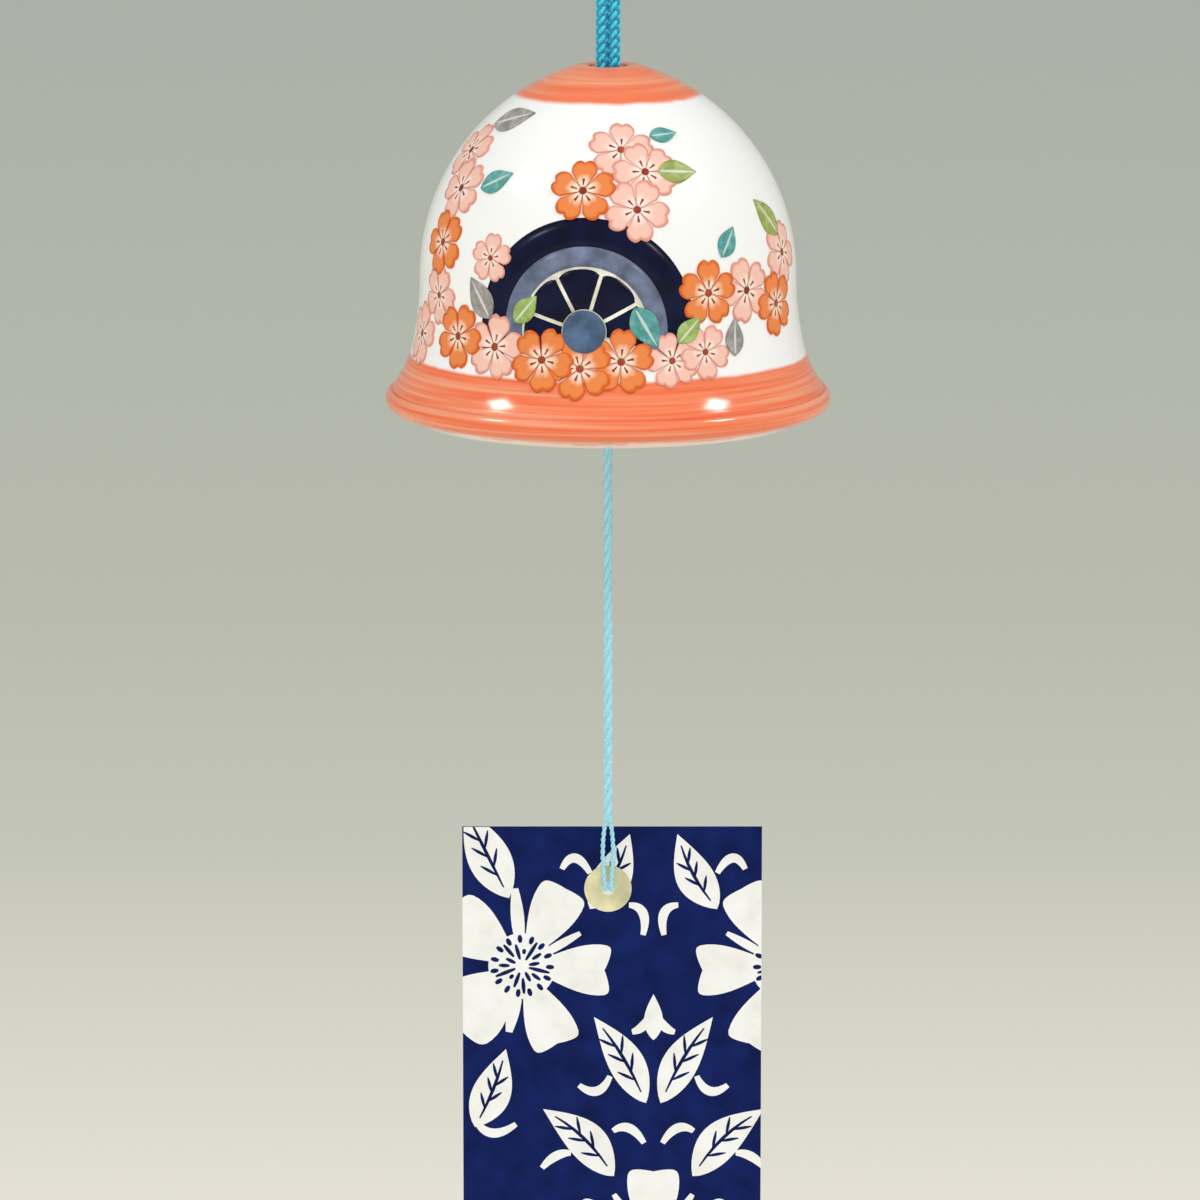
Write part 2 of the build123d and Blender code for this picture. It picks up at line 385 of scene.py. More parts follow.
def leaf_enamel(name, colour):
    """Overglaze enamel on a leaf: a wash that is thin in places, with a paler midrib."""
    material, tree, place = new_material(name)
    white = settings().colours.white
    wash, _ = mottled(tree, place, 700.0, 2.0, (
        (0.35, scaled(colour, 0.75)), (0.55, colour), (0.75, blend(colour, white, 0.2)),
    ))
    across = node(tree, "ShaderNodeAttribute", attribute_name="across").outputs["Fac"]
    rib = node(tree, "ShaderNodeMapRange", {"Value": across, "From Min": 0.16, "From Max": 0.06})
    tint = node(tree, "ShaderNodeMixRGB", {"Fac": rib, "Color1": wash, "Color2": blend(colour, white, 0.55)})
    return surfaced(material, {"Base Color": tint, "Roughness": 0.36, "IOR": 1.5, "Specular IOR Level": 0.3})


def plain_enamel(name, colour, variation):
    """Overglaze enamel laid as a flat wash, lighter and darker where the brush turned."""
    material, tree, place = new_material(name)
    wash, _ = mottled(tree, place, 260.0, 3.0, (
        (0.35, scaled(colour, 1.0 - variation)), (0.65, scaled(colour, 1.0 + variation)),
    ))
    return surfaced(material, {"Base Color": wash, "Roughness": 0.28, "IOR": 1.5, "Specular IOR Level": 0.2})


def yarn(name, colour):
    """Spun rayon or cotton yarn: fine fibres about 0.12 mm apart, and a soft sheen at grazing angles."""
    material, tree, place = new_material(name)
    # Drawn as coarse as shows in the render: fibres are finer still
    tint, fibres = mottled(tree, place, 8000.0, 2.0, (
        (0.3, scaled(colour, 0.62)), (0.5, colour), (0.72, blend(colour, linear("#ffffff"), 0.22)),
    ))
    fuzz = node(tree, "ShaderNodeBump", {"Height": fibres, "Distance": 0.0001, "Strength": 0.6})
    return surfaced(material, {
        "Base Color": tint, "Roughness": 0.7, "Specular IOR Level": 0.2, "Sheen Weight": 0.08,
        "Normal": fuzz,
    })


def paper(name, colour, mottle):
    """Washi paper, dyed or printed: matt, with a felted grain of about 0.5 mm and clouds in the colour."""
    material, tree, place = new_material(name)
    tint, _ = mottled(tree, place, 220.0, 4.0, (
        (0.3, scaled(colour, 1.0 - mottle)), (0.5, colour), (0.7, scaled(colour, 1.0 + mottle)),
    ))
    felt = node(tree, "ShaderNodeTexNoise", {"Vector": place, "Scale": 2000.0, "Detail": 3.0})
    bump = node(tree, "ShaderNodeBump", {"Height": felt, "Distance": 0.00006, "Strength": 0.4})
    return surfaced(material, {
        "Base Color": tint, "Roughness": 0.85, "Specular IOR Level": 0.12, "Normal": bump,
    })


def backdrop_shade(tree, slope):
    """Inside a material: the backdrop's painted shade, darker upwards, by how steeply the view runs down to
    it.
    """
    colours = settings().colours
    share = node(tree, "ShaderNodeMapRange", {
        "Value": slope, "From Min": SLOPE_ABOVE, "From Max": SLOPE_BELOW,
    })
    tint = node(tree, "ShaderNodeValToRGB", {"Fac": share})
    set_stops(tint, (
        (0.0, colours.backdrop_high), (0.5, colours.backdrop_middle),
        (0.7, colours.backdrop_lower), (1.0, colours.backdrop_low),
    ))
    return tint


def seen_rays(tree):
    """Inside a material: 1 for the rays that show a background, straight, mirrored or through glass."""
    rays = node(tree, "ShaderNodeLightPath").outputs
    seen = rays["Is Camera Ray"]
    for kind in ("Is Glossy Ray", "Is Transmission Ray"):
        seen = node(tree, "ShaderNodeMath", {0: seen, 1: rays[kind]}, operation="MAXIMUM")
    return seen


def backdrop_paper():
    """A pale paper sweep: floor and wall in one, which glows in a painted shade that deepens upwards as in
    the photograph.
    """
    material, tree, place = new_material("backdrop paper")
    apart = node(tree, "ShaderNodeVectorMath", {0: tuple(sight()[0]), 1: place}, operation="SUBTRACT")
    part = node(tree, "ShaderNodeSeparateXYZ", {0: apart}).outputs
    away = node(tree, "ShaderNodeMath", {0: part["Y"]}, operation="ABSOLUTE")
    slope = node(tree, "ShaderNodeMath", {0: part["Z"], 1: away}, operation="DIVIDE")
    shade = backdrop_shade(tree, slope)
    glow = node(tree, "ShaderNodeEmission", {"Color": shade, "Strength": 1.0})
    matt = node(tree, "ShaderNodeBsdfDiffuse", {"Color": shade})
    # Part of the picture's background is lit paper, so that the floor keeps its shadow, and the rest is a
    # glow in that painted shade
    lit = node(tree, "ShaderNodeMixShader", {0: 0.8, 1: matt, 2: glow})
    sweep = node(tree, "ShaderNodeMixShader", {0: seen_rays(tree), 1: matt, 2: lit})
    # From behind and from below the paper lets the view through, so that the bell shows from all sides
    clear = node(tree, "ShaderNodeBsdfTransparent")
    behind = node(tree, "ShaderNodeNewGeometry").outputs["Backfacing"]
    sheet = node(tree, "ShaderNodeMixShader", {0: behind, 1: sweep, 2: clear})
    node(tree, "ShaderNodeOutputMaterial", {"Surface": sheet})
    return material


def studio_world():
    """Even white light from all round, with the backdrop's painted shades where the view runs past the
    paper.
    """
    world = bpy.data.worlds.new("studio")
    world.use_nodes = True
    tree = world.node_tree
    tree.nodes.clear()
    heading = node(tree, "ShaderNodeTexCoord").outputs["Generated"]
    level = node(tree, "ShaderNodeVectorMath", {0: heading, 1: (1.0, 1.0, 0.0)}, operation="MULTIPLY")
    away = node(tree, "ShaderNodeVectorMath", {0: level}, operation="LENGTH").outputs["Value"]
    height = node(tree, "ShaderNodeSeparateXYZ", {0: heading}).outputs["Z"]
    rise = node(tree, "ShaderNodeMath", {0: height, 1: away}, operation="DIVIDE")
    slope = node(tree, "ShaderNodeMath", {0: rise, 1: -1.0}, operation="MULTIPLY")
    seen = node(tree, "ShaderNodeBackground", {"Color": backdrop_shade(tree, slope), "Strength": 1.0})
    even = node(tree, "ShaderNodeBackground", {"Color": linear("#ffffff"), "Strength": 0.72})
    both = node(tree, "ShaderNodeMixShader", {0: seen_rays(tree), 1: even, 2: seen})
    node(tree, "ShaderNodeOutputWorld", {"Surface": both})
    return world


# Shapes in the plane


def polar(radius, angle, stretch=1.0):
    """A point at that distance and angle, drawn out upwards by a factor."""
    return Vector((radius * math.cos(angle), stretch * radius * math.sin(angle)))


def tangent_arc(start, heading, end, steps):
    """Points of the arc that leaves start along heading and reaches end, and its heading there."""
    start = Vector(start)
    chord = Vector(end) - start
    base = math.atan2(heading[1], heading[0])
    half = math.remainder(math.atan2(chord.y, chord.x) - base, math.tau)
    radius = chord.length / (2 * math.sin(half))
    centre = start + radius * Vector((-math.sin(base), math.cos(base)))
    turns = [base + 2 * half * i / steps for i in range(steps + 1)]
    points = [centre + radius * Vector((math.sin(a), -math.cos(a))) for a in turns]
    return points, polar(1.0, turns[-1])


def arc_through(start, middle, end, steps):
    """Points of the arc from start through middle to end."""
    start, middle, end = Vector(start), Vector(middle), Vector(end)
    angles = [math.atan2(chord.y, chord.x) for chord in (middle - start, end - start, end - middle)]
    return tangent_arc(start, polar(1.0, angles[0] + angles[1] - angles[2]), end, steps)[0]


def rounded(before, corner, after, radius, steps):
    """Points of a round of that radius in place of a corner."""
    corner = Vector(corner)
    back = (Vector(before) - corner).normalized()
    ahead = (Vector(after) - corner).normalized()
    reach = radius / math.tan(back.angle(ahead) / 2)
    return tangent_arc(corner + reach * back, -back, corner + reach * ahead, steps)[0]


def bell_outline():
    """The bell's section as (radius, height) points: crown, outside down to the lip, foot, and inside."""
    size = settings().bell
    foot = BELL_LOW.z
    rim_radius = BELL_HIGH.x
    waist = Vector((size.waist_radius, foot + size.waist_height))
    crown = Vector((size.crown_radius, BELL_HIGH.z))
    shoulder = Vector((rim_radius - size.lip_overhang, foot + size.rim_height + size.lip_rise))
    under = Vector((rim_radius - size.lip_return, foot + size.rim_height - size.lip_depth))
    foot_out = Vector((rim_radius - size.foot_setback, foot))
    foot_in = Vector((foot_out.x - size.foot_width, foot))
    inner_waist = Vector((waist.x - size.wall, waist.y))
    # The inside of the dome keeps the centre of the outside's arc
    run = waist.x - crown.x
    dome_arc = (run**2 + (crown.y - waist.y)**2) / (2 * run)
    inner_rise = math.sqrt((dome_arc - size.wall)**2 - (size.hole_radius - waist.x + dome_arc)**2)
    hole_over = Vector((size.hole_radius, crown.y))
    hole_under = Vector((size.hole_radius, waist.y + inner_rise))

    dome, _ = tangent_arc(waist, (0, 1), crown, steps=72)
    skirt, heading = tangent_arc(waist, (0, -1), (size.band_radius, foot + size.band_height), steps=16)
    cove, _ = tangent_arc(skirt[-1], heading, shoulder, steps=20)
    lip = arc_through(shoulder, (rim_radius, foot + size.rim_height), under, steps=18)
    groove = shoulder - Vector((size.groove, size.groove))
    crown_edge = rounded(hole_under, hole_over, crown, size.hole_round, steps=5)
    outside = [*dome[::-1], *skirt[1:], *cove[1:-1], groove, *lip[1:]]
    bottom = [
        *rounded(under, foot_out, foot_in, size.foot_round, steps=6),
        *rounded(foot_out, foot_in, inner_waist, size.foot_round, steps=6),
    ]
    inner_dome, _ = tangent_arc(inner_waist, (0, 1), hole_under, steps=48)
    inside = [
        *inner_dome[:-1],
        *rounded(inner_dome[-2], hole_under, hole_over, size.hole_round, steps=5),
    ]
    return crown_edge, outside, bottom, inside


# Meshes


def spun(name, zones, sectors, materials):
    """A solid of revolution about the bell's axis. Each zone of its closed outline has its own material."""
    outline = [point for zone in zones for point in zone]
    paint = [index for index, zone in enumerate(zones) for _ in zone]
    count = len(outline)
    turns = [math.tau * k / sectors for k in range(sectors)]
    verts = [(r * math.sin(a), -r * math.cos(a), z) for a in turns for r, z in outline]
    faces = []
    for k in range(sectors):
        here, there = k * count, (k + 1) % sectors * count
        for i in range(count):
            j = (i + 1) % count
            faces.append((here + i, here + j, there + j, there + i))
    mesh = bpy.data.meshes.new(name)
    mesh.from_pydata(verts, [], faces)
    for material in materials:
        mesh.materials.append(material)
    mesh.polygons.foreach_set("material_index", paint * sectors)
    mesh.shade_smooth()
    mesh.set_sharp_from_angle(angle=math.radians(50))
    return mesh


def joined(name, meshes):
    """Several meshes as one, each with its own materials."""
    whole = bmesh.new()
    materials = []
    for mesh in meshes:
        before = len(whole.faces)
        whole.from_mesh(mesh)
        whole.faces.ensure_lookup_table()
        for face in whole.faces[before:]:
            face.material_index += len(materials)
        materials.extend(mesh.materials)
    result = bpy.data.meshes.new(name)
    whole.to_mesh(result)
    whole.free()
    for material in materials:
        result.materials.append(material)
    return result


def patch_mesh(name, patches, grid):
    """A flat mesh of patches: functions of how far out (0 to 1) and across (-1 to 1) a point lies."""
    rows, columns = grid
    verts, faces, reach, across = [], [], [], []
    for place in patches:
        first = len(verts)
        for i in range(rows + 1):
            for j in range(columns + 1):
                out, side = i / rows, 2 * j / columns - 1
                verts.append((*place(out, side), 0.0))
                reach.append(out)
                across.append(abs(side))
        for i in range(rows):
            for j in range(columns):
                a = first + i * (columns + 1) + j
                b = a + columns + 1
                faces.append((a, b, b + 1, a + 1))
    mesh = bpy.data.meshes.new(name)
    mesh.from_pydata(verts, [], faces)
    mesh.attributes.new("reach", "FLOAT", "POINT").data.foreach_set("value", reach)
    mesh.attributes.new("across", "FLOAT", "POINT").data.foreach_set("value", across)
    return mesh


def scattered_points(name, columns):
    """A mesh of loose points with named numbers on each, for a node tree to read."""
    count = len(next(iter(columns.values())))
    mesh = bpy.data.meshes.new(name)
    mesh.from_pydata([(0.0, 0.0, 0.0)] * count, [], [])
    for label, values in columns.items():
        mesh.attributes.new(label, "FLOAT", "POINT").data.foreach_set("value", values)
    return mesh


def open_curve(name, kind, points):
    """A curve with one open spline of that kind, and the spline."""
    curve = bpy.data.curves.new(name, "CURVE")
    curve.dimensions = "3D"
    spline = curve.splines.new(kind)
    spline.points.add(len(points) - 1)
    for point, spot in zip(spline.points, points):
        point.co = (*spot, 1.0)
    return curve, spline


def in_scene(name, data):
    """A new object in the scene: a piece, part of the stage, or one that is read and then removed."""
    made = bpy.data.objects.new(name, data)
    bpy.context.scene.collection.objects.link(made)
    return made


def plain_mesh(made):
    """What an object shows, as a plain mesh. The object itself is removed."""
    depsgraph = bpy.context.evaluated_depsgraph_get()
    mesh = bpy.data.meshes.new_from_object(
        made.evaluated_get(depsgraph), preserve_all_data_layers=True, depsgraph=depsgraph,
    )
    bpy.data.objects.remove(made)
    return mesh


def from_nodes(name, base, tree, values):
    """Run a node tree on a mesh and keep the result as a plain mesh."""
    carrier = in_scene(name + " carrier", base)
    modifier = carrier.modifiers.new("Nodes", "NODES")
    modifier.node_group = tree
    for item in tree.interface.items_tree:
        if item.in_out == "INPUT" and item.name in values:
            modifier[item.identifier] = values[item.name]
    mesh = plain_mesh(carrier)
    mesh.name = name
    if not mesh.polygons:
        raise RuntimeError(f"{name} came out empty")
    return mesh


def from_motif(name, patches, grid, points, tree, values):
    """Run a node tree on points, with a motif that is drawn from patches."""
    motif = in_scene(name + " motif", patch_mesh(name + " motif", patches, grid))
    mesh = from_nodes(name, points, tree, {"Motif": motif, **values})
    bpy.data.objects.remove(motif)
    return mesh


def piece(name, mesh, body, slot, *nodes):
    """Show a mesh as a piece that rides on a body, in place of those CAD nodes."""
    made = in_scene(name, mesh)
    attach(made, body)
    if nodes:
        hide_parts(*nodes)
    return made


# Node trees


def new_tree(name, inputs):
    """A Geometry Nodes tree, and its inputs by name."""
    tree = bpy.data.node_groups.new(name, "GeometryNodeTree")
    tree.interface.new_socket("Geometry", in_out="OUTPUT", socket_type="NodeSocketGeometry")
    for label, kind in inputs.items():
        tree.interface.new_socket(label, in_out="INPUT", socket_type="NodeSocket" + kind)
    return tree, node(tree, "NodeGroupInput").outputs


def finished(tree, geometry, material):
    """Close a tree: what it made, as real geometry in its material."""
    real = node(tree, "GeometryNodeRealizeInstances", {"Geometry": geometry})
    coated = node(tree, "GeometryNodeSetMaterial", {"Geometry": real, "Material": material})
    node(tree, "NodeGroupOutput", {0: coated})
    return tree


def solid_motif(tree, motif, thickness):
    """Inside a tree: a flat motif object given a thickness, closed below."""
    drawn = node(tree, "GeometryNodeObjectInfo", {"Object": motif}).outputs["Geometry"]
    flat = node(tree, "GeometryNodeMergeByDistance", {"Geometry": drawn, "Distance": WELD})
    raised = node(tree, "GeometryNodeExtrudeMesh", {
        "Mesh": flat, "Offset Scale": thickness, "Individual": False,
    }, mode="FACES")
    under = node(tree, "GeometryNodeFlipFaces", {"Mesh": flat})
    both = node(tree, "GeometryNodeJoinGeometry", {"Geometry": raised})
    tree.links.new(under.outputs[0], both.inputs["Geometry"])
    return node(tree, "GeometryNodeMergeByDistance", {"Geometry": both, "Distance": WELD})


def wrapped_enamel_tree():
    """A tree that lays flat motifs on the bell, each at its bearing and station, turned and raised."""
    tree, given = new_tree("wrapped enamel", {
        "Points": "Geometry", "Motif": "Object", "Outline": "Object", "Thickness": "Float",
        "Material": "Material",
    })
    named = {
        label: node(tree, "GeometryNodeInputNamedAttribute", {"Name": label})
        for label in ("bearing", "station", "lift", "turn", "size")
    }
    turned = node(tree, "ShaderNodeCombineXYZ", {"Z": named["turn"]})
    placed = node(tree, "GeometryNodeInstanceOnPoints", {
        "Points": given["Points"], "Instance": solid_motif(tree, given["Motif"], given["Thickness"]),
        "Rotation": node(tree, "FunctionNodeEulerToRotation", {"Euler": turned}),
        "Scale": node(tree, "ShaderNodeCombineXYZ", {"X": named["size"], "Y": named["size"], "Z": 1.0}),
    })
    flat = node(tree, "GeometryNodeRealizeInstances", {"Geometry": placed})
    local = node(tree, "ShaderNodeSeparateXYZ", {0: node(tree, "GeometryNodeInputPosition")}).outputs
    # Where a point comes to lie on the outline, and where the middle of its motif does
    outline = node(tree, "GeometryNodeObjectInfo", {"Object": given["Outline"]}).outputs["Geometry"]
    down = node(tree, "ShaderNodeMath", {0: named["station"], 1: local["Y"]}, operation="SUBTRACT")
    here, home = (
        node(tree, "GeometryNodeSampleCurve", {"Curves": outline, "Length": length}, mode="LENGTH").outputs
        for length in (down, named["station"])
    )
    place, centre, slope = (
        node(tree, "ShaderNodeSeparateXYZ", {0: vector}).outputs
        for vector in (here["Position"], home["Position"], here["Tangent"])
    )
    # A motif keeps its width best at the mean of the radius here and the radius at its middle
    both = node(tree, "ShaderNodeMath", {0: place["X"], 1: centre["X"]}, operation="ADD")
    mean = node(tree, "ShaderNodeMath", {0: both, 1: 0.5}, operation="MULTIPLY")
    around = node(tree, "ShaderNodeMath", {0: local["X"], 1: mean}, operation="DIVIDE")
    angle = node(tree, "ShaderNodeMath", {0: named["bearing"], 1: around}, operation="ADD")
    # A coat rises square to the outline, and its foot is fused into the glaze, whatever it lies over
    top = node(tree, "ShaderNodeMath", {0: given["Thickness"], 1: named["lift"]}, operation="ADD")
    height = node(tree, "ShaderNodeMapRange", {
        "Value": local["Z"], "From Max": given["Thickness"], "To Min": -FUSED, "To Max": top,
    })
    inward = node(tree, "ShaderNodeMath", {0: slope["Z"], 1: height}, operation="MULTIPLY")
    front = node(tree, "ShaderNodeMath", {0: inward, 1: place["X"]}, operation="SUBTRACT")
    level = node(tree, "ShaderNodeMath", {0: slope["X"], 1: height, 2: place["Z"]}, operation="MULTIPLY_ADD")
    spot = node(tree, "ShaderNodeVectorRotate", {
        "Vector": node(tree, "ShaderNodeCombineXYZ", {"Y": front, "Z": level}), "Angle": angle,
    }, rotation_type="Z_AXIS")
    laid = node(tree, "GeometryNodeSetPosition", {"Geometry": flat, "Position": spot})
    smooth = node(tree, "GeometryNodeSetShadeSmooth", {"Geometry": laid})
    return finished(tree, smooth, given["Material"])


def laid_strands_tree():
    """A tree that winds strands around a path: plies of a string, or one direction of a braid."""
    tree, given = new_tree("laid strands", {
        "Path": "Geometry", "Strands": "Int", "Pitch": "Float", "Lay Radius": "Float",
        "Strand Radius": "Float", "Direction": "Float", "Weave": "Float", "Material": "Material",
    })
    line = node(tree, "GeometryNodeMeshToCurve", {"Mesh": given["Path"]})
    step = node(tree, "ShaderNodeMath", {0: given["Pitch"], 1: STEPS_IN_TURN}, operation="DIVIDE")
    even = node(tree, "GeometryNodeResampleCurve", {"Curve": line, "Length": step}, mode="LENGTH")
    copies = node(tree, "GeometryNodeDuplicateElements", {
        "Geometry": even, "Amount": given["Strands"],
    }, domain="SPLINE").outputs
    along = node(tree, "GeometryNodeSplineParameter").outputs["Length"]
    turns = node(tree, "ShaderNodeMath", {0: along, 1: given["Pitch"]}, operation="DIVIDE")
    start = node(tree, "ShaderNodeMath", {
        0: copies["Duplicate Index"], 1: given["Strands"],
    }, operation="DIVIDE")
    share = node(tree, "ShaderNodeMath", {
        0: turns, 1: given["Direction"], 2: start,
    }, operation="MULTIPLY_ADD")
    angle = node(tree, "ShaderNodeMath", {0: share, 1: math.tau}, operation="MULTIPLY")
    # A braided strand goes over and under the others as often as there are strands in a turn
    crossings = node(tree, "ShaderNodeMath", {0: turns, 1: given["Strands"]}, operation="MULTIPLY")
    phase = node(tree, "ShaderNodeMath", {0: crossings, 1: math.tau}, operation="MULTIPLY")
    wave = node(tree, "ShaderNodeMath", {0: phase}, operation="COSINE")
    radius = node(tree, "ShaderNodeMath", {
        0: wave, 1: given["Weave"], 2: given["Lay Radius"],
    }, operation="MULTIPLY_ADD")
    aside = node(tree, "ShaderNodeVectorRotate", {
        "Vector": node(tree, "GeometryNodeInputNormal"), "Axis": node(tree, "GeometryNodeInputTangent"),
        "Angle": angle,
    }, rotation_type="AXIS_ANGLE")
    offset = node(tree, "ShaderNodeVectorMath", {0: aside, "Scale": radius}, operation="SCALE")
    wound = node(tree, "GeometryNodeSetPosition", {"Geometry": copies["Geometry"], "Offset": offset})
    ring = node(tree, "GeometryNodeCurvePrimitiveCircle", {
        "Resolution": SIDES_OF_STRAND, "Radius": given["Strand Radius"],
    })
    tube = node(tree, "GeometryNodeCurveToMesh", {"Curve": wound, "Profile Curve": ring, "Fill Caps": True})
    smooth = node(tree, "GeometryNodeSetShadeSmooth", {"Geometry": tube})
    return finished(tree, smooth, given["Material"])


def flat_print_tree():
    """A tree that sets flat motifs on the front of the strip, each at its place."""
    tree, given = new_tree("flat print", {
        "Points": "Geometry", "Motif": "Object", "Thickness": "Float", "Material": "Material",
    })
    right, up, front = (
        node(tree, "GeometryNodeInputNamedAttribute", {"Name": label}) for label in ("right", "up", "front")
    )
    spot = node(tree, "ShaderNodeCombineXYZ", {"X": right, "Y": front, "Z": up})
    moved = node(tree, "GeometryNodeSetPosition", {"Geometry": given["Points"], "Position": spot})
    # A motif is drawn on the ground: this stands it up to face the front
    upright = node(tree, "FunctionNodeEulerToRotation", {"Euler": (math.pi / 2, 0.0, 0.0)})
    placed = node(tree, "GeometryNodeInstanceOnPoints", {
        "Points": moved, "Instance": solid_motif(tree, given["Motif"], given["Thickness"]),
        "Rotation": upright,
    })
    return finished(tree, placed, given["Material"])


# The photograph's view


def sight():
    """The photograph's camera: where it stands, its right, up and forward, and the distance to its aim."""
    stage = settings().stage
    place = Vector((-stage.aim_left, -stage.distance, BELL_LOW.z + stage.height))
    aim = Vector((-stage.aim_left, 0.0, BELL_LOW.z - stage.aim_drop))
    forward = (aim - place).normalized()
    right = Vector((1.0, 0.0, 0.0))
    return place, right, right.cross(forward), forward, (aim - place).length


def photo_ray(px, py):
    """From the camera through a pixel of the photograph: where it starts and its direction."""
    place, right, up, forward, reach = sight()
    share = settings().stage.field / reach / PHOTO_PIXELS
    half = PHOTO_PIXELS / 2
    return place, forward + (px - half) * share * right + (half - py) * share * up


def outline_at(outline, height):
    """The radius of the bell's outside at a height, and how far down the outline that is."""
    station = 0.0
    for upper, lower in zip(outline, outline[1:]):
        run = (lower - upper).length
        if lower.y <= height <= upper.y:
            share = (upper.y - height) / (upper.y - lower.y)
            return upper.x + share * (lower.x - upper.x), station + share * run
        station += run
    return (0.0, 0.0) if height > outline[0].y else (outline[-1].x, station)


def on_bell(px, py, outline):
    """Where a pixel of the photograph falls on the bell: its bearing, and how far down the outline."""
    start, direction = photo_ray(px, py)
    nearest, gap = None, math.inf
    # The search goes from in front of the bell back to its axis
    front, steps = -0.045, 600
    for i in range(steps + 1):
        depth = front - front * i / steps
        spot = start + direction * ((depth - start.y) / direction.y)
        radius, station = outline_at(outline, spot.z)
        outside = math.hypot(spot.x, spot.y) - radius
        if outside < gap:
            nearest, gap = (math.atan2(spot.x, -spot.y), station), outside
        if outside <= 0:
            break
    return nearest


# Painting: where the photograph shows each motif on the bell, in pixels. A blossom also has its size, and a
# leaf the way it points, in degrees, and its length in millimetres
PINK_BLOSSOMS = (
    (472, 150, 1.0), (462, 188, 1.0), (440, 295, 0.9), (491, 258, 0.75), (746, 290, 1.0), (781, 252, 1.0),
    (621, 150, 1.0), (645, 172, 1.0), (637, 210, 1.0), (495, 347, 1.0), (672, 361, 0.85), (705, 352, 0.85),
    (423, 333, 1.0),
)
ORANGE_BLOSSOMS = (
    (583, 191, 1.0), (444, 242, 1.0), (459, 336, 1.0), (708, 293, 1.0), (775, 303, 1.0), (542, 360, 1.0),
    (621, 362, 1.0), (580, 369, 1.0),
)
LEAVES = {
    "teal": ((663, 135, 5, 5.0), (497, 181, 30, 6.6), (727, 242, 55, 5.8), (646, 328, -60, 7.8)),
    "olive": ((677, 172, -5, 7.0), (766, 217, 125, 8.0)),
    "green": ((526, 309, 50, 6.0), (689, 330, 45, 5.8)),
    "grey": ((514, 119, 25, 8.6), (481, 298, 125, 7.8), (734, 337, 85, 6.2)),
}
WHEEL_HUB = (584, 332)
# The wheel's height over its width, and how far it goes round to each side of its top, in degrees
WHEEL_STRETCH = 1.01
WHEEL_HALF = 107
# Cells between the wheel's spokes: how many show, where the first one points and their step, in degrees
CELLS = 5
FIRST_CELL = 5.5
CELL_STEP = 45
# The painting is repeated on the bell's back, drawn together to this share
BACK_SPREAD = 0.85


def blossom_patches(width):
    """Five notched petals around a point."""
    throat, shoulder, notch, notch_half = 0.12, 0.30, 0.10, 0.24
    half = math.radians(33.5)

    def petal(turn):
        def place(out, side):
            edge = 1.0 - shoulder * abs(side)**3 - notch * max(0.0, 1.0 - abs(side) / notch_half)
            return polar(width / 2 * (throat + (edge - throat) * out), turn + side * half)
        return place
    return [petal(math.tau * k / 5) for k in range(5)]


def heart_patches(width):
    """A dot, and five stamens around it."""
    dot, start, length, half_width = 0.055 * width, 0.09 * width, 0.10 * width, 0.013 * width

    def stamen(turn):
        def place(out, side):
            aside = half_width * side * (0.6 + out)
            return polar(start + length * out, turn) + polar(aside, turn + math.pi / 2)
        return place
    return [sector_patch(0.0, dot, 0.0, math.pi)] + [stamen(math.tau * k / 5) for k in range(5)]


def sector_patch(inner, outer, middle, half, stretch=1.0):
    """Part of a ring, about a middle angle."""
    def place(out, side):
        return polar(inner + (outer - inner) * out, middle + side * half, stretch)
    return place


def cell_patch(inner, outer, middle, spoke):
    """A cell between two spokes of the wheel, rounded at its outer end."""
    roundness = 0.06

    def place(out, side):
        radius = inner + (outer * (1.0 - roundness * abs(side)**4) - inner) * out
        half = math.radians(CELL_STEP / 2) - math.asin(spoke / 2 / radius)
        return polar(radius, middle + side * half, WHEEL_STRETCH)
    return place


def leaf_patch(base, tip, width, bend=0.0):
    """A pointed leaf from its base to its tip, whose middle bends to its left."""
    base, run = Vector(base), Vector(tip) - Vector(base)
    left = Vector((-run.y, run.x)).normalized()

    def place(out, side):
        half = width / 2 * math.sin(math.pi * out**0.8)
        return base + run * out + left * (bend * math.sin(math.pi * out) + side * half)
    return place


def stroke_patch(start, middle, end, width, thin):
    """A brush stroke that bends past its middle point, and narrows towards both ends to that share."""
    start, middle, end = Vector(start), Vector(middle), Vector(end)
    pull = 2 * middle - (start + end) / 2

    def place(out, side):
        spot = (1 - out)**2 * start + 2 * out * (1 - out) * pull + out**2 * end
        heading = (1 - out) * (pull - start) + out * (end - pull)
        left = Vector((-heading.y, heading.x)).normalized()
        return spot + left * (side * width / 2 * (thin + (1 - thin) * math.sin(math.pi * out)))
    return place


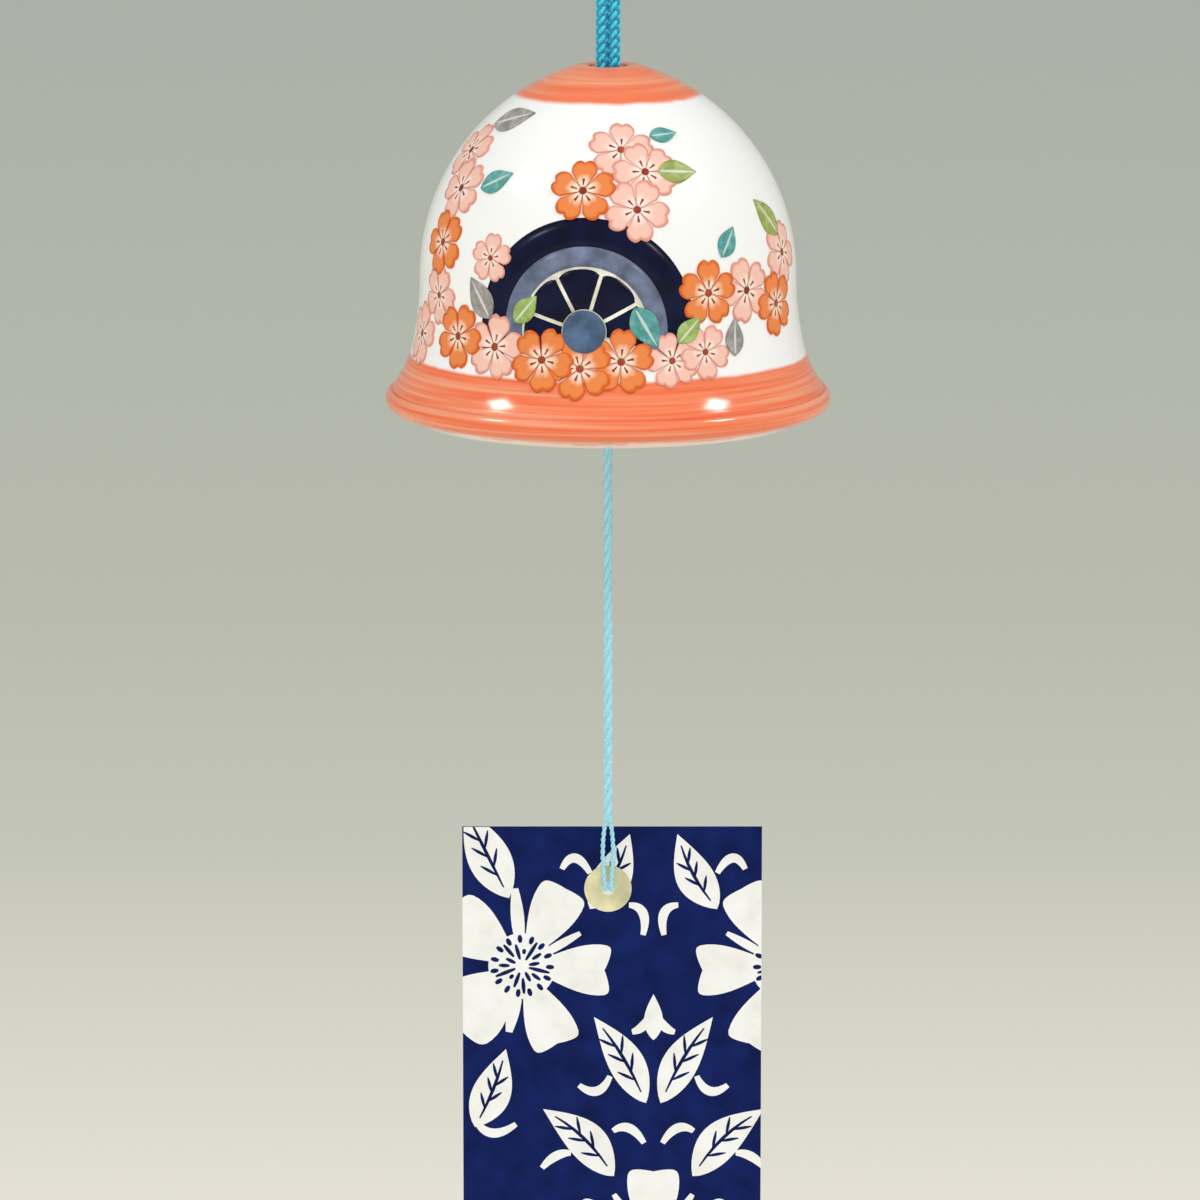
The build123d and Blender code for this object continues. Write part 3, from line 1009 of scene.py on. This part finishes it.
def paint_bell(outline):
    """Lay each coat of enamel on the bell, one piece for each colour."""
    size, colours = settings().enamel, settings().colours
    # Coats that lie over each other rise by this step
    step = 0.25 * size.thickness
    curve, _ = open_curve("bell outline", "POLY", [(radius, 0.0, height) for radius, height in outline])
    track = in_scene("bell outline", curve)
    tree = wrapped_enamel_tree()

    def lay(name, patches, grid, material, spots, turns, lifts, sizes):
        bearings, stations = zip(*(on_bell(px, py, outline) for px, py in spots))
        points = scattered_points(name, {
            "bearing": [*bearings, *(math.pi + BACK_SPREAD * bearing for bearing in bearings)],
            "station": stations * 2,
            "turn": [math.radians(turn) for turn in turns] * 2,
            "lift": list(lifts) * 2,
            "size": list(sizes) * 2,
        })
        mesh = from_motif(name, patches, grid, points, tree, {
            "Outline": track, "Thickness": size.thickness, "Material": material,
        })
        piece(name, mesh, "bell", "glazed_porcelain")

    def ring(inner, outer):
        half = math.radians(WHEEL_HALF)
        return [sector_patch(inner * size.wheel, outer * size.wheel, math.pi / 2, half, WHEEL_STRETCH)]

    # The wheel lies under the flowers, but its hub over them
    cells = [
        cell_patch(0.2 * size.wheel, 0.55 * size.wheel, math.radians(FIRST_CELL + CELL_STEP * k), size.spoke)
        for k in range(CELLS)
    ]
    hub = [sector_patch(0.0, 0.19 * size.wheel, math.pi / 2, math.pi)]
    for label, patches, grid, colour, layer in (
        ("rim", ring(0.735, 1.0), (3, 64), colours.navy, 1),
        ("band", ring(0.56, 0.745), (3, 64), colours.slate, 2),
        ("spokes", ring(0.17, 0.57), (6, 64), colours.cream, 3),
        ("cells", cells, (8, 10), colours.navy, 4),
        ("hub", hub, (4, 40), colours.hub, 13),
    ):
        material = plain_enamel("enamel wheel " + label, colour, 0.35)
        lay("enamel_wheel_" + label, patches, grid, material, [WHEEL_HUB], [0], [layer * step], [1.0])

    leaf = leaf_patch((-size.leaf / 2, 0.0), (size.leaf / 2, 0.0), 0.6 * size.leaf)
    leaf_layer = 12
    for name, spots in LEAVES.items():
        px, py, turns, lengths = zip(*spots)
        material = leaf_enamel(name + " enamel", getattr(colours, name))
        lifts = [leaf_layer * step] * len(spots)
        sizes = [0.001 * length / size.leaf for length in lengths]
        lay("enamel_leaves_" + name, [leaf], (12, 8), material, zip(px, py), turns, lifts, sizes)

    petals, hearts = blossom_patches(size.blossom), heart_patches(size.blossom)
    dark = plain_enamel("stamen enamel", colours.stamen, 0.4)
    for name, spots, layer in (("pink", PINK_BLOSSOMS, 6.0), ("orange", ORANGE_BLOSSOMS, 9.0)):
        px, py, sizes = zip(*spots)
        material = petal_enamel(name + " enamel", *(
            getattr(colours, name + part) for part in ("_heart", "", "_edge")
        ))
        # Each is turned on from the one before, and lies at one of three levels, to overlap its neighbours
        turns = [18 + 23 * k for k in range(len(spots))]
        lifts = [(layer + 0.9 * (k % 3)) * step for k in range(len(spots))]
        over = [lift + 0.12 * size.thickness for lift in lifts]
        lay("enamel_blossoms_" + name, petals, (8, 14), material, zip(px, py), turns, lifts, sizes)
        lay("enamel_hearts_" + name, hearts, (2, 12), dark, zip(px, py), turns, over, sizes)
    bpy.data.objects.remove(track)


class WIND_BELL_OT_bell(bpy.types.Operator):
    """Turn the porcelain bell, glaze it and paint it"""

    bl_idname = "wind_bell.bell"
    bl_label = "Bell"

    def execute(self, context):
        crown_edge, outside, bottom, inside = bell_outline()
        mesh = spun("bell_porcelain", (crown_edge + outside, bottom, inside), 160, (
            painted_glaze(), bare_biscuit(), clear_glaze(),
        ))
        piece("bell_porcelain", mesh, "bell", "glazed_porcelain", "bell")
        lowest = BELL_LOW.z + settings().enamel.lowest
        paint_bell([point for point in outside if point.y >= lowest])
        return {"FINISHED"}


# Cords


def route_path(name, route):
    """The smooth path of a cord's route: a mesh of edges, and its points in a row."""
    curve, spline = open_curve(name, "NURBS", route)
    curve.resolution_u = 24
    spline.order_u = 3
    spline.use_endpoint_u = True
    path = plain_mesh(in_scene(name + " route", curve))
    return path, [vert.co.copy() for vert in path.vertices]


def braid(name, path, tree):
    """A round braid over a core: as many bright strands one way as dark strands the other."""
    size, colours = settings().cord, settings().colours
    strand, weave = 0.155 * size.cord, 0.055 * size.cord
    around = size.cord / 2 - strand
    bright = yarn("bright cord yarn", colours.cord_bright)
    dark = yarn("dark cord yarn", colours.cord_dark)
    return joined(name, [
        from_nodes(f"{name} {label}", path, tree, {
            "Strands": strands, "Pitch": size.braid_pitch, "Lay Radius": lay, "Strand Radius": radius,
            "Direction": direction, "Weave": direction * weave, "Material": material,
        })
        for label, strands, lay, radius, direction, material in (
            ("bright", 4, around, strand, 1.0, bright),
            ("dark", 4, around, strand, -1.0, dark),
            ("core", 1, 0.0, around, 0.0, dark),
        )
    ])


def string_kit():
    """What all twisted strings share: their node tree and their yarn."""
    return laid_strands_tree(), yarn("string yarn", settings().colours.string)


def twist(name, path, kit, diameter, pitch):
    """A string twisted from two plies on a path."""
    tree, material = kit
    return from_nodes(name, path, tree, {
        "Strands": 2, "Pitch": pitch, "Lay Radius": 0.21 * diameter, "Strand Radius": 0.29 * diameter,
        "Direction": 1.0, "Weave": 0.0, "Material": material,
    })


def taut_string(name, cad_node, body, kit):
    """A plumb string in place of the model's, as a piece of its own."""
    size = settings().cord
    low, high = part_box(cad_node)
    route = [(0, 0, high.z), (0, 0, (high.z + low.z) / 2), (0, 0, low.z)]
    path, points = route_path(name, route)
    mesh = twist(name, path, kit, size.string, size.string_pitch)
    piece(name, mesh, body, "twisted_string", cad_node)


def knot_path(name, cad_node, thickness):
    """The path of an overhand knot in a cord of that thickness, drawn up to the size of the model's ball."""
    low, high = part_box(cad_node)
    room = (high.x - low.x - thickness) / 2
    reach, rise = room / 3, 0.62 * room
    steps = 120
    points = [
        (low + high) / 2 + Vector((
            reach * (math.sin(t) + 2 * math.sin(2 * t)), reach * (math.cos(t) - 2 * math.cos(2 * t)),
            -rise * math.sin(3 * t),
        ))
        for t in (math.tau * k / steps for k in range(steps + 1))
    ]
    mesh = bpy.data.meshes.new(name)
    mesh.from_pydata(points, [(k, k + 1) for k in range(steps)], [])
    return mesh


def string_knot(cad_node, body, kit, thickness, pitch):
    """A knot in a twisted string, in place of the model's ball."""
    name = cad_node + "_twist"
    mesh = twist(name, knot_path(name, cad_node, thickness), kit, thickness, pitch)
    piece(name, mesh, body, "twisted_string", cad_node)


class WIND_BELL_OT_hanging_cord(bpy.types.Operator):
    """Braid the doubled hanging cord and its stopper knot"""

    bl_idname = "wind_bell.hanging_cord"
    bl_label = "Hanging Cord"

    def execute(self, context):
        size = settings().cord
        tree = laid_strands_tree()
        leg = size.leg_spacing / 2
        # Up one leg, round the loop and down the other, as the model's cord goes
        side = [
            (leg, CORD_LOW.z), (leg, -0.0370), (leg, -0.0285),
            (0.00296, -0.0100), (0.00385, -0.0016), (0.00352, 0.00095),
        ]
        route = [(-x, 0.0, z) for x, z in side] + [(x, 0.0, z) for x, z in reversed(side)]
        name = "hanging_cord_braid"
        path, points = route_path(name, route)
        cord = piece(name, braid(name, path, tree), "hanger", "braided_cord", "hanging_cord")
        name = "stopper_knot_braid"
        path = knot_path(name, "stopper_knot", size.cord)
        piece(name, braid(name, path, tree), "stopper", "braided_cord", "stopper_knot")
        return {"FINISHED"}


class WIND_BELL_OT_clapper(bpy.types.Operator):
    """Turn the clapper and hang it on its string, between its two knots"""

    bl_idname = "wind_bell.clapper"
    bl_label = "Clapper"

    def execute(self, context):
        size, cord = settings().bell, settings().cord
        low, high, radius = CLAPPER_LOW.z, CLAPPER_HIGH.z, CLAPPER_HIGH.x
        corners = [(size.clapper_bore, high), (radius, high), (radius, low), (size.clapper_bore, low)]
        outline = [
            corners[0], *rounded(*corners[:3], size.clapper_round, steps=10),
            *rounded(*corners[1:], size.clapper_round, steps=10), corners[3],
        ]
        mesh = spun("clapper_porcelain", (outline,), 96, (clear_glaze(),))
        piece("clapper_porcelain", mesh, "clapper", "clapper_porcelain", "clapper")
        kit = string_kit()
        taut_string("clapper_string_twist", "clapper_string", "clapper", kit)
        for cad_node, body in (("clapper_hitch", "hitch"), ("clapper_knot", "clapper_knot")):
            string_knot(cad_node, body, kit, thickness=0.6 * cord.string, pitch=0.5 * cord.string_pitch)
        return {"FINISHED"}


class WIND_BELL_OT_strip_string(bpy.types.Operator):
    """Twist the string that carries the strip, and part its two plies at the strip's hole"""

    bl_idname = "wind_bell.strip_string"
    bl_label = "Strip String"

    def execute(self, context):
        size = settings().cord
        kit = string_kit()
        taut_string("strip_string_twist", "strip_string", "string", kit)
        parting, near, end_pitch = STRING_LOW.z, size.end_gap, 0.4 * size.string_pitch
        for sign, side in ((-1, "left"), (1, "right")):
            name = f"string_end_{side}_twist"
            path, _ = route_path(name, [
                (sign * 0.0003, 0, parting + 0.0006), (sign * 0.0007, 0, parting - 0.0012),
                (sign * size.end_spread, 0, (parting + HOLE_Z) / 2), (sign * near, 0, HOLE_Z + 0.0012),
                (sign * near, 0, HOLE_Z), (sign * near, 0.0004, HOLE_Z), (sign * near, END_HIGH.y, HOLE_Z),
            ])
            mesh = twist(name, path, kit, size.end, end_pitch)
            piece(name, mesh, "strip", "twisted_string", f"string_end_{side}")
        string_knot("end_knot", "strip", kit, thickness=0.95 * size.end, pitch=end_pitch)
        return {"FINISHED"}


# Strip: where the photograph shows the print's flower, leaves and tendrils, in pixels
# The strip in the photograph hangs a little aside, so its print moves with it by so many pixels
PRINT_SHIFT = (-8, -4)
# Metres on the strip for a pixel
PIXEL_ON_STRIP = 0.168e-3
PRINT_FLOWER = (530, 970)
# The print's upright axis, and how far its rows are apart
PRINT_MIRROR = 661.5
PRINT_ROW = 289
# Petals: the way each points and half its width in degrees, and how deep its end is notched
PRINT_PETALS = ((-3, 22, 0.11), (61, 21, 0.02), (144, 26, 0.02), (-138, 31, 0.03), (-66, 21, 0.06))
CREST_PETALS = ((90, 22, 0.06), (26, 21, 0.03), (154, 21, 0.03), (-48, 26, 0.03), (-132, 26, 0.03))
# Sepals: the way each points in degrees, and its end and width as shares of the flower's reach
PRINT_SEPALS = ((95, 0.90, 0.15), (-101, 0.78, 0.15), (30, 0.76, 0.10))
CREST_SEPALS = ((58, 0.84, 0.11), (122, 0.84, 0.11), (-11, 0.80, 0.15), (191, 0.80, 0.15), (-90, 0.80, 0.15))
# Leaves: base, tip, width, and how far the middle bends to the left of the line from base to tip
PRINT_LEAVES = (
    ((517, 902), (472, 812), 43, 0), ((598, 913), (638, 838), 38, -5), ((654, 1107), (602, 1021), 36, -4),
    ((483, 1131), (514, 1053), 39, -3), ((622, 1180), (551, 1113), 39, -7),
    ((566, 1323), (495, 1256), 39, -7),
)
PRINT_BUD = ((661.5, 1044), (661.5, 998), 19)
PRINT_STROKES = (
    ((570, 873), (583, 862), (598, 877)), ((637, 909), (651, 917), (651, 939)),
    ((618, 1080), (605, 1095), (587, 1089)), ((484, 1125), (501, 1137), (524, 1128)),
    ((579, 1157), (564, 1160), (550, 1172)), ((621, 1135), (637, 1132), (652, 1147)),
    ((658, 1018), (651, 1030), (640, 1036)), ((557, 1331), (540, 1352), (512, 1349)),
)


def hole_ring(radius):
    """Points of a circle around the strip's hole."""
    sides = 48
    return [Vector((0.0, HOLE_Z)) + polar(radius, math.tau * k / sides) for k in range(sides)]


def flat_plate(name, low, high, rim, material):
    """A thin plate that faces the front, from the strip's hole out to a rim of points."""
    shape = bmesh.new()
    edges = []
    for ring in (hole_ring(settings().strip.hole), rim):
        verts = [shape.verts.new((x, low.y, z)) for x, z in ring]
        edges += [shape.edges.new((a, b)) for a, b in zip(verts, verts[1:] + verts[:1])]
    bmesh.ops.triangle_fill(shape, use_beauty=True, edges=edges)
    grown = bmesh.ops.extrude_face_region(shape, geom=shape.faces[:], use_keep_orig=True)
    moved = [item for item in grown["geom"] if isinstance(item, bmesh.types.BMVert)]
    bmesh.ops.translate(shape, verts=moved, vec=(0.0, high.y - low.y, 0.0))
    bmesh.ops.recalc_face_normals(shape, faces=shape.faces)
    mesh = bpy.data.meshes.new(name)
    shape.to_mesh(mesh)
    shape.free()
    mesh.materials.append(material)
    return mesh


def on_print(pixel):
    """Where a pixel of the photograph's print falls on the front of the strip."""
    start, direction = photo_ray(pixel[0] + PRINT_SHIFT[0], pixel[1] + PRINT_SHIFT[1])
    return (start + direction * ((STRIP_LOW.y - start.y) / direction.y)).xz


def print_motifs():
    """The print's shapes as flat patches about a flower's middle, by name."""
    size = settings().strip
    home = on_print(PRINT_FLOWER)
    reach = size.flower

    def at(pixel):
        return on_print(pixel) - home

    def petal(turn, half, notch):
        throat, tip, shoulder, notch_half = 0.1, 1.04, 0.12, 0.8

        def place(out, side):
            edge = tip - shoulder * abs(side)**8 - notch * max(0.0, 1.0 - abs(side) / notch_half)
            spread = math.radians(half) * (1.0 + 0.20 * out - 0.35 * out**3)
            return polar(reach * (throat + (edge - throat) * out), math.radians(turn) + side * spread)
        return place

    def ray(turn, inner, outer, width):
        heading = polar(reach, math.radians(turn))
        ends = (inner * heading, (inner + outer) / 2 * heading, outer * heading)
        return stroke_patch(*ends, width * reach, 0.5)

    shapes = {
        "flower": [petal(*shape) for shape in PRINT_PETALS],
        "crest": [petal(*shape) for shape in CREST_PETALS],
        "sepals": [ray(turn, 0.2, end, width) for turn, end, width in PRINT_SEPALS],
        "crest_sepals": [ray(turn, 0.2, end, width) for turn, end, width in CREST_SEPALS],
        "centre": [sector_patch(0.0, 0.38 * reach, 0.0, math.pi)],
        "stamens": [
            *(ray(10 + 24 * k, 0.08 + 0.06 * (k % 2), 0.20 + 0.06 * (k % 3), 0.045) for k in range(15)),
            *(ray(22 + 24 * k, 0.27, 0.36, 0.055) for k in range(15)),
        ],
        "bud": [leaf_patch(at(PRINT_BUD[0]), at(PRINT_BUD[1]), PIXEL_ON_STRIP * PRINT_BUD[2])],
        "tendrils": [stroke_patch(*map(at, spots), size.stroke, 0.55) for spots in PRINT_STROKES],
        "leaves": [],
        "veins": [],
    }
    for base, tip, width, bend in PRINT_LEAVES:
        leaf = leaf_patch(at(base), at(tip), PIXEL_ON_STRIP * width, PIXEL_ON_STRIP * bend)
        shapes["leaves"].append(leaf)
        midrib = [leaf(share, 0.0) for share in (0.12, 0.5, 0.86)]
        shapes["veins"].append(stroke_patch(*midrib, size.midrib, 0.4))
        run = at(tip) - at(base)
        left = Vector((-run.y, run.x))
        for share, side in ((0.25, 1), (0.34, -1), (0.45, 1), (0.54, -1), (0.63, 1)):
            root = leaf(share, 0.0)
            end = root + 0.16 * run + 0.11 * side * left
            shapes["veins"].append(stroke_patch(root, (root + end) / 2, end, size.vein, 0.3))
    return shapes


def mirrored(patches):
    """The same patches seen in a mirror, still facing the front."""
    def flip(place):
        def turned(out, side):
            x, y = place(out, -side)
            return -x, y
        return turned
    return [flip(place) for place in patches]


def clipped(mesh):
    """Cut a print off at the edges of the strip, and around its hole."""
    shape = bmesh.new()
    shape.from_mesh(mesh)

    def cut(spot, out, away):
        geometry = shape.verts[:] + shape.edges[:] + shape.faces[:]
        bmesh.ops.bisect_plane(
            shape, geom=geometry, plane_co=spot, plane_no=out, clear_outer=away, dist=WELD / 10,
        )

    for spot, way in ((STRIP_LOW, -1), (STRIP_HIGH, 1)):
        cut(spot, (way, 0, 0), True)
        cut(spot, (0, 0, way), True)
    # Around the hole the cuts make an octagon, whose inside is then taken out
    middle = Vector((0.0, 0.0, HOLE_Z))
    clear = 0.002
    for k in range(8):
        out = polar(1.0, math.tau * k / 8).to_3d().xzy
        cut(middle + clear * out, out, False)
    inside = [face for face in shape.faces if (face.calc_center_median() - middle).xz.length < clear]
    bmesh.ops.delete(shape, geom=inside, context="FACES")
    bmesh.ops.holes_fill(shape, edges=[edge for edge in shape.edges if edge.is_boundary])
    shape.to_mesh(mesh)
    shape.free()


def on_both_sides(name, mesh):
    """A print on the front of the strip and, turned about the strip's middle, on its back."""
    back = mesh.copy()
    middle = (STRIP_LOW + STRIP_HIGH) / 2
    for vert in back.vertices:
        vert.co.xy = 2 * middle.xy - vert.co.xy
    return joined(name, (mesh, back))


class WIND_BELL_OT_strip(bpy.types.Operator):
    """Cut the paper strip, print it and patch its hole"""

    bl_idname = "wind_bell.strip"
    bl_label = "Strip"

    def execute(self, context):
        size, colours = settings().strip, settings().colours
        ground = paper("navy printed paper", colours.paper, 0.3)
        white = paper("white printed paper", colours.print_white, 0.08)
        cream = paper("patch paper", colours.patch, 0.25)
        low, high = STRIP_LOW, STRIP_HIGH
        corners = [(low.x, low.z), (high.x, low.z), (high.x, high.z), (low.x, high.z)]
        mesh = flat_plate("strip_paper", low, high, corners, ground)
        piece("strip_paper", mesh, "strip", "printed_paper", "strip")
        mesh = flat_plate("hole_patch_paper", PATCH_LOW, PATCH_HIGH, hole_ring(PATCH_HIGH.x), cream)
        piece("hole_patch_paper", mesh, "strip", "patch_paper", "hole_patch")

        home = on_print(PRINT_FLOWER)
        mirror = on_print((PRINT_MIRROR, PRINT_FLOWER[1])).x
        row = home.y - on_print((PRINT_FLOWER[0], PRINT_FLOWER[1] + PRINT_ROW)).y
        # Flowers stand at both sides of the axis in one row, and on it and at the edges in the next
        step = mirror - home.x
        even = [(home.x, k) for k in (0, 2)]
        turned = [(mirror + step, k) for k in (0, 2)]
        odd = [(mirror + side * step, k) for k in (1, 3) for side in (-2, 0, 2)]
        tree = flat_print_tree()

        def stamp(name, patches, grid, spots, level, material):
            points = scattered_points(name, {
                "right": [x for x, _ in spots],
                "up": [home.y - k * row for _, k in spots],
                "front": [STRIP_LOW.y - level * size.ink] * len(spots),
            })
            made = from_motif(name, patches, grid, points, tree, {
                "Thickness": size.ink, "Material": material,
            })
            clipped(made)
            return made

        # Each layer of the print: its name, the grid of its patches, its paper, its level in coats of ink,
        # the shapes that stand at one side and mirrored at the other, and more shapes with their places
        shapes = print_motifs()
        for name, grid, material, level, pair, *more in (
            ("sepals", (8, 2), white, 0.1, "sepals", ("crest_sepals", odd)),
            ("flowers", (10, 22), white, 0.3, "flower", ("crest", odd)),
            ("centres", (2, 40), white, 0.5, "centre", ("centre", odd)),
            ("stamens", (6, 2), ground, 0.8, "stamens", ("stamens", odd)),
            ("leaves", (20, 4), white, 0.0, "leaves", ("bud", even)),
            ("tendrils", (14, 2), white, 0.2, "tendrils"),
            ("veins", (6, 2), ground, 0.35, "veins"),
        ):
            name = "print_" + name
            sets = [(shapes[pair], even), (mirrored(shapes[pair]), turned)]
            sets += [(shapes[label], spots) for label, spots in more]
            made = [
                stamp(f"{name} {k}", patches, grid, spots, level, material)
                for k, (patches, spots) in enumerate(sets)
            ]
            piece(name, on_both_sides(name, joined(name, made)), "strip", "printed_paper")
        return {"FINISHED"}


# Stage: each lamp's name, place, width, height and watts, and whether the glaze mirrors it
LAMPS = (
    ("left softbox", (-0.95, -0.27, 0.84), 0.24, 0.20, 3.6, True),
    ("right softbox", (0.95, -0.27, 0.84), 0.24, 0.20, 4.0, True),
    ("front fill", (0.0, -1.8, -0.12), 1.6, 0.5, 5.6, False),
)


class WIND_BELL_OT_stage(bpy.types.Operator):
    """Set up the photograph's view, its backdrop and its soft lights"""

    bl_idname = "wind_bell.stage"
    bl_label = "Stage"

    def execute(self, context):
        scene, stage = context.scene, settings().stage
        place, _, _, forward, reach = sight()
        camera = bpy.data.cameras.new("photo camera")
        camera.sensor_width = SENSOR_MM
        camera.lens = SENSOR_MM * reach / stage.field
        camera.clip_start, camera.clip_end = 0.05, 20.0
        viewer = in_scene("photo camera", camera)
        viewer.location = place
        viewer.rotation_euler = forward.to_track_quat("-Z", "Y").to_euler()
        scene.camera = viewer

        # One sheet of paper, from the floor in front up to the top of the wall
        floor = STRIP_LOW.z - stage.floor_drop
        half_width, front, wall, top = 3.0, -3.0, 1.0, 2.0
        bend, steps = 0.25, 16
        centre = Vector((wall - bend, floor + bend))
        curve = [centre + polar(bend, math.pi / 2 * (k / steps - 1)) for k in range(steps + 1)]
        profile = [(front, floor), *curve, (wall, top)]
        verts = [(x, y, z) for y, z in profile for x in (-half_width, half_width)]
        faces = [(2 * k, 2 * k + 1, 2 * k + 3, 2 * k + 2) for k in range(len(profile) - 1)]
        mesh = bpy.data.meshes.new("backdrop")
        mesh.from_pydata(verts, [], faces)
        mesh.materials.append(backdrop_paper())
        mesh.shade_smooth()
        backdrop = in_scene("backdrop", mesh)

        aim = Vector((0.0, 0.0, STRING_HIGH.z))
        for name, spot, width, height, watts, in_glaze in LAMPS:
            light = bpy.data.lights.new(name, "AREA")
            light.shape, light.size, light.size_y, light.energy = "RECTANGLE", width, height, watts
            lamp = in_scene(name, light)
            lamp.visible_glossy = in_glaze
            lamp.location = spot
            lamp.rotation_euler = (aim - lamp.location).to_track_quat("-Z", "Y").to_euler()
        scene.world = studio_world()
        scene.view_settings.view_transform = "Standard"
        return {"FINISHED"}


class WIND_BELL_PT_panel(bpy.types.Panel):
    """Sizes and colours of the wind bell, and the steps that build it"""

    bl_idname = "WIND_BELL_PT_panel"
    bl_label = "Wind Bell"
    bl_space_type = "VIEW_3D"
    bl_region_type = "UI"
    bl_category = "Wind Bell"

    def draw(self, context):
        for step in STEPS:
            self.layout.operator(step.bl_idname)
        for label in ("bell", "enamel", "cord", "strip", "stage", "colours"):
            box = self.layout.box()
            box.label(text=label.capitalize())
            group = getattr(context.scene.wind_bell, label)
            for field in group.__annotations__:
                box.prop(group, field)


STEPS = (
    WIND_BELL_OT_stage, WIND_BELL_OT_hanging_cord, WIND_BELL_OT_bell, WIND_BELL_OT_clapper,
    WIND_BELL_OT_strip_string, WIND_BELL_OT_strip,
)
CLASSES = (
    BellSizes, EnamelSizes, CordSizes, StripSizes, StageSizes, Colours, WindBell, *STEPS, WIND_BELL_PT_panel,
)


def register():
    for cls in CLASSES:
        bpy.utils.register_class(cls)
    bpy.types.Scene.wind_bell = bpy.props.PointerProperty(
        type=WindBell, name="Wind Bell", description="Sizes and colours of the wind bell",
    )


def unregister():
    del bpy.types.Scene.wind_bell
    for cls in reversed(CLASSES):
        bpy.utils.unregister_class(cls)


def main():
    register()
    bpy.ops.wind_bell.stage()
    bpy.ops.wind_bell.hanging_cord()
    bpy.ops.wind_bell.bell()
    bpy.ops.wind_bell.clapper()
    bpy.ops.wind_bell.strip_string()
    bpy.ops.wind_bell.strip()


if __name__ == "__main__":
    main()
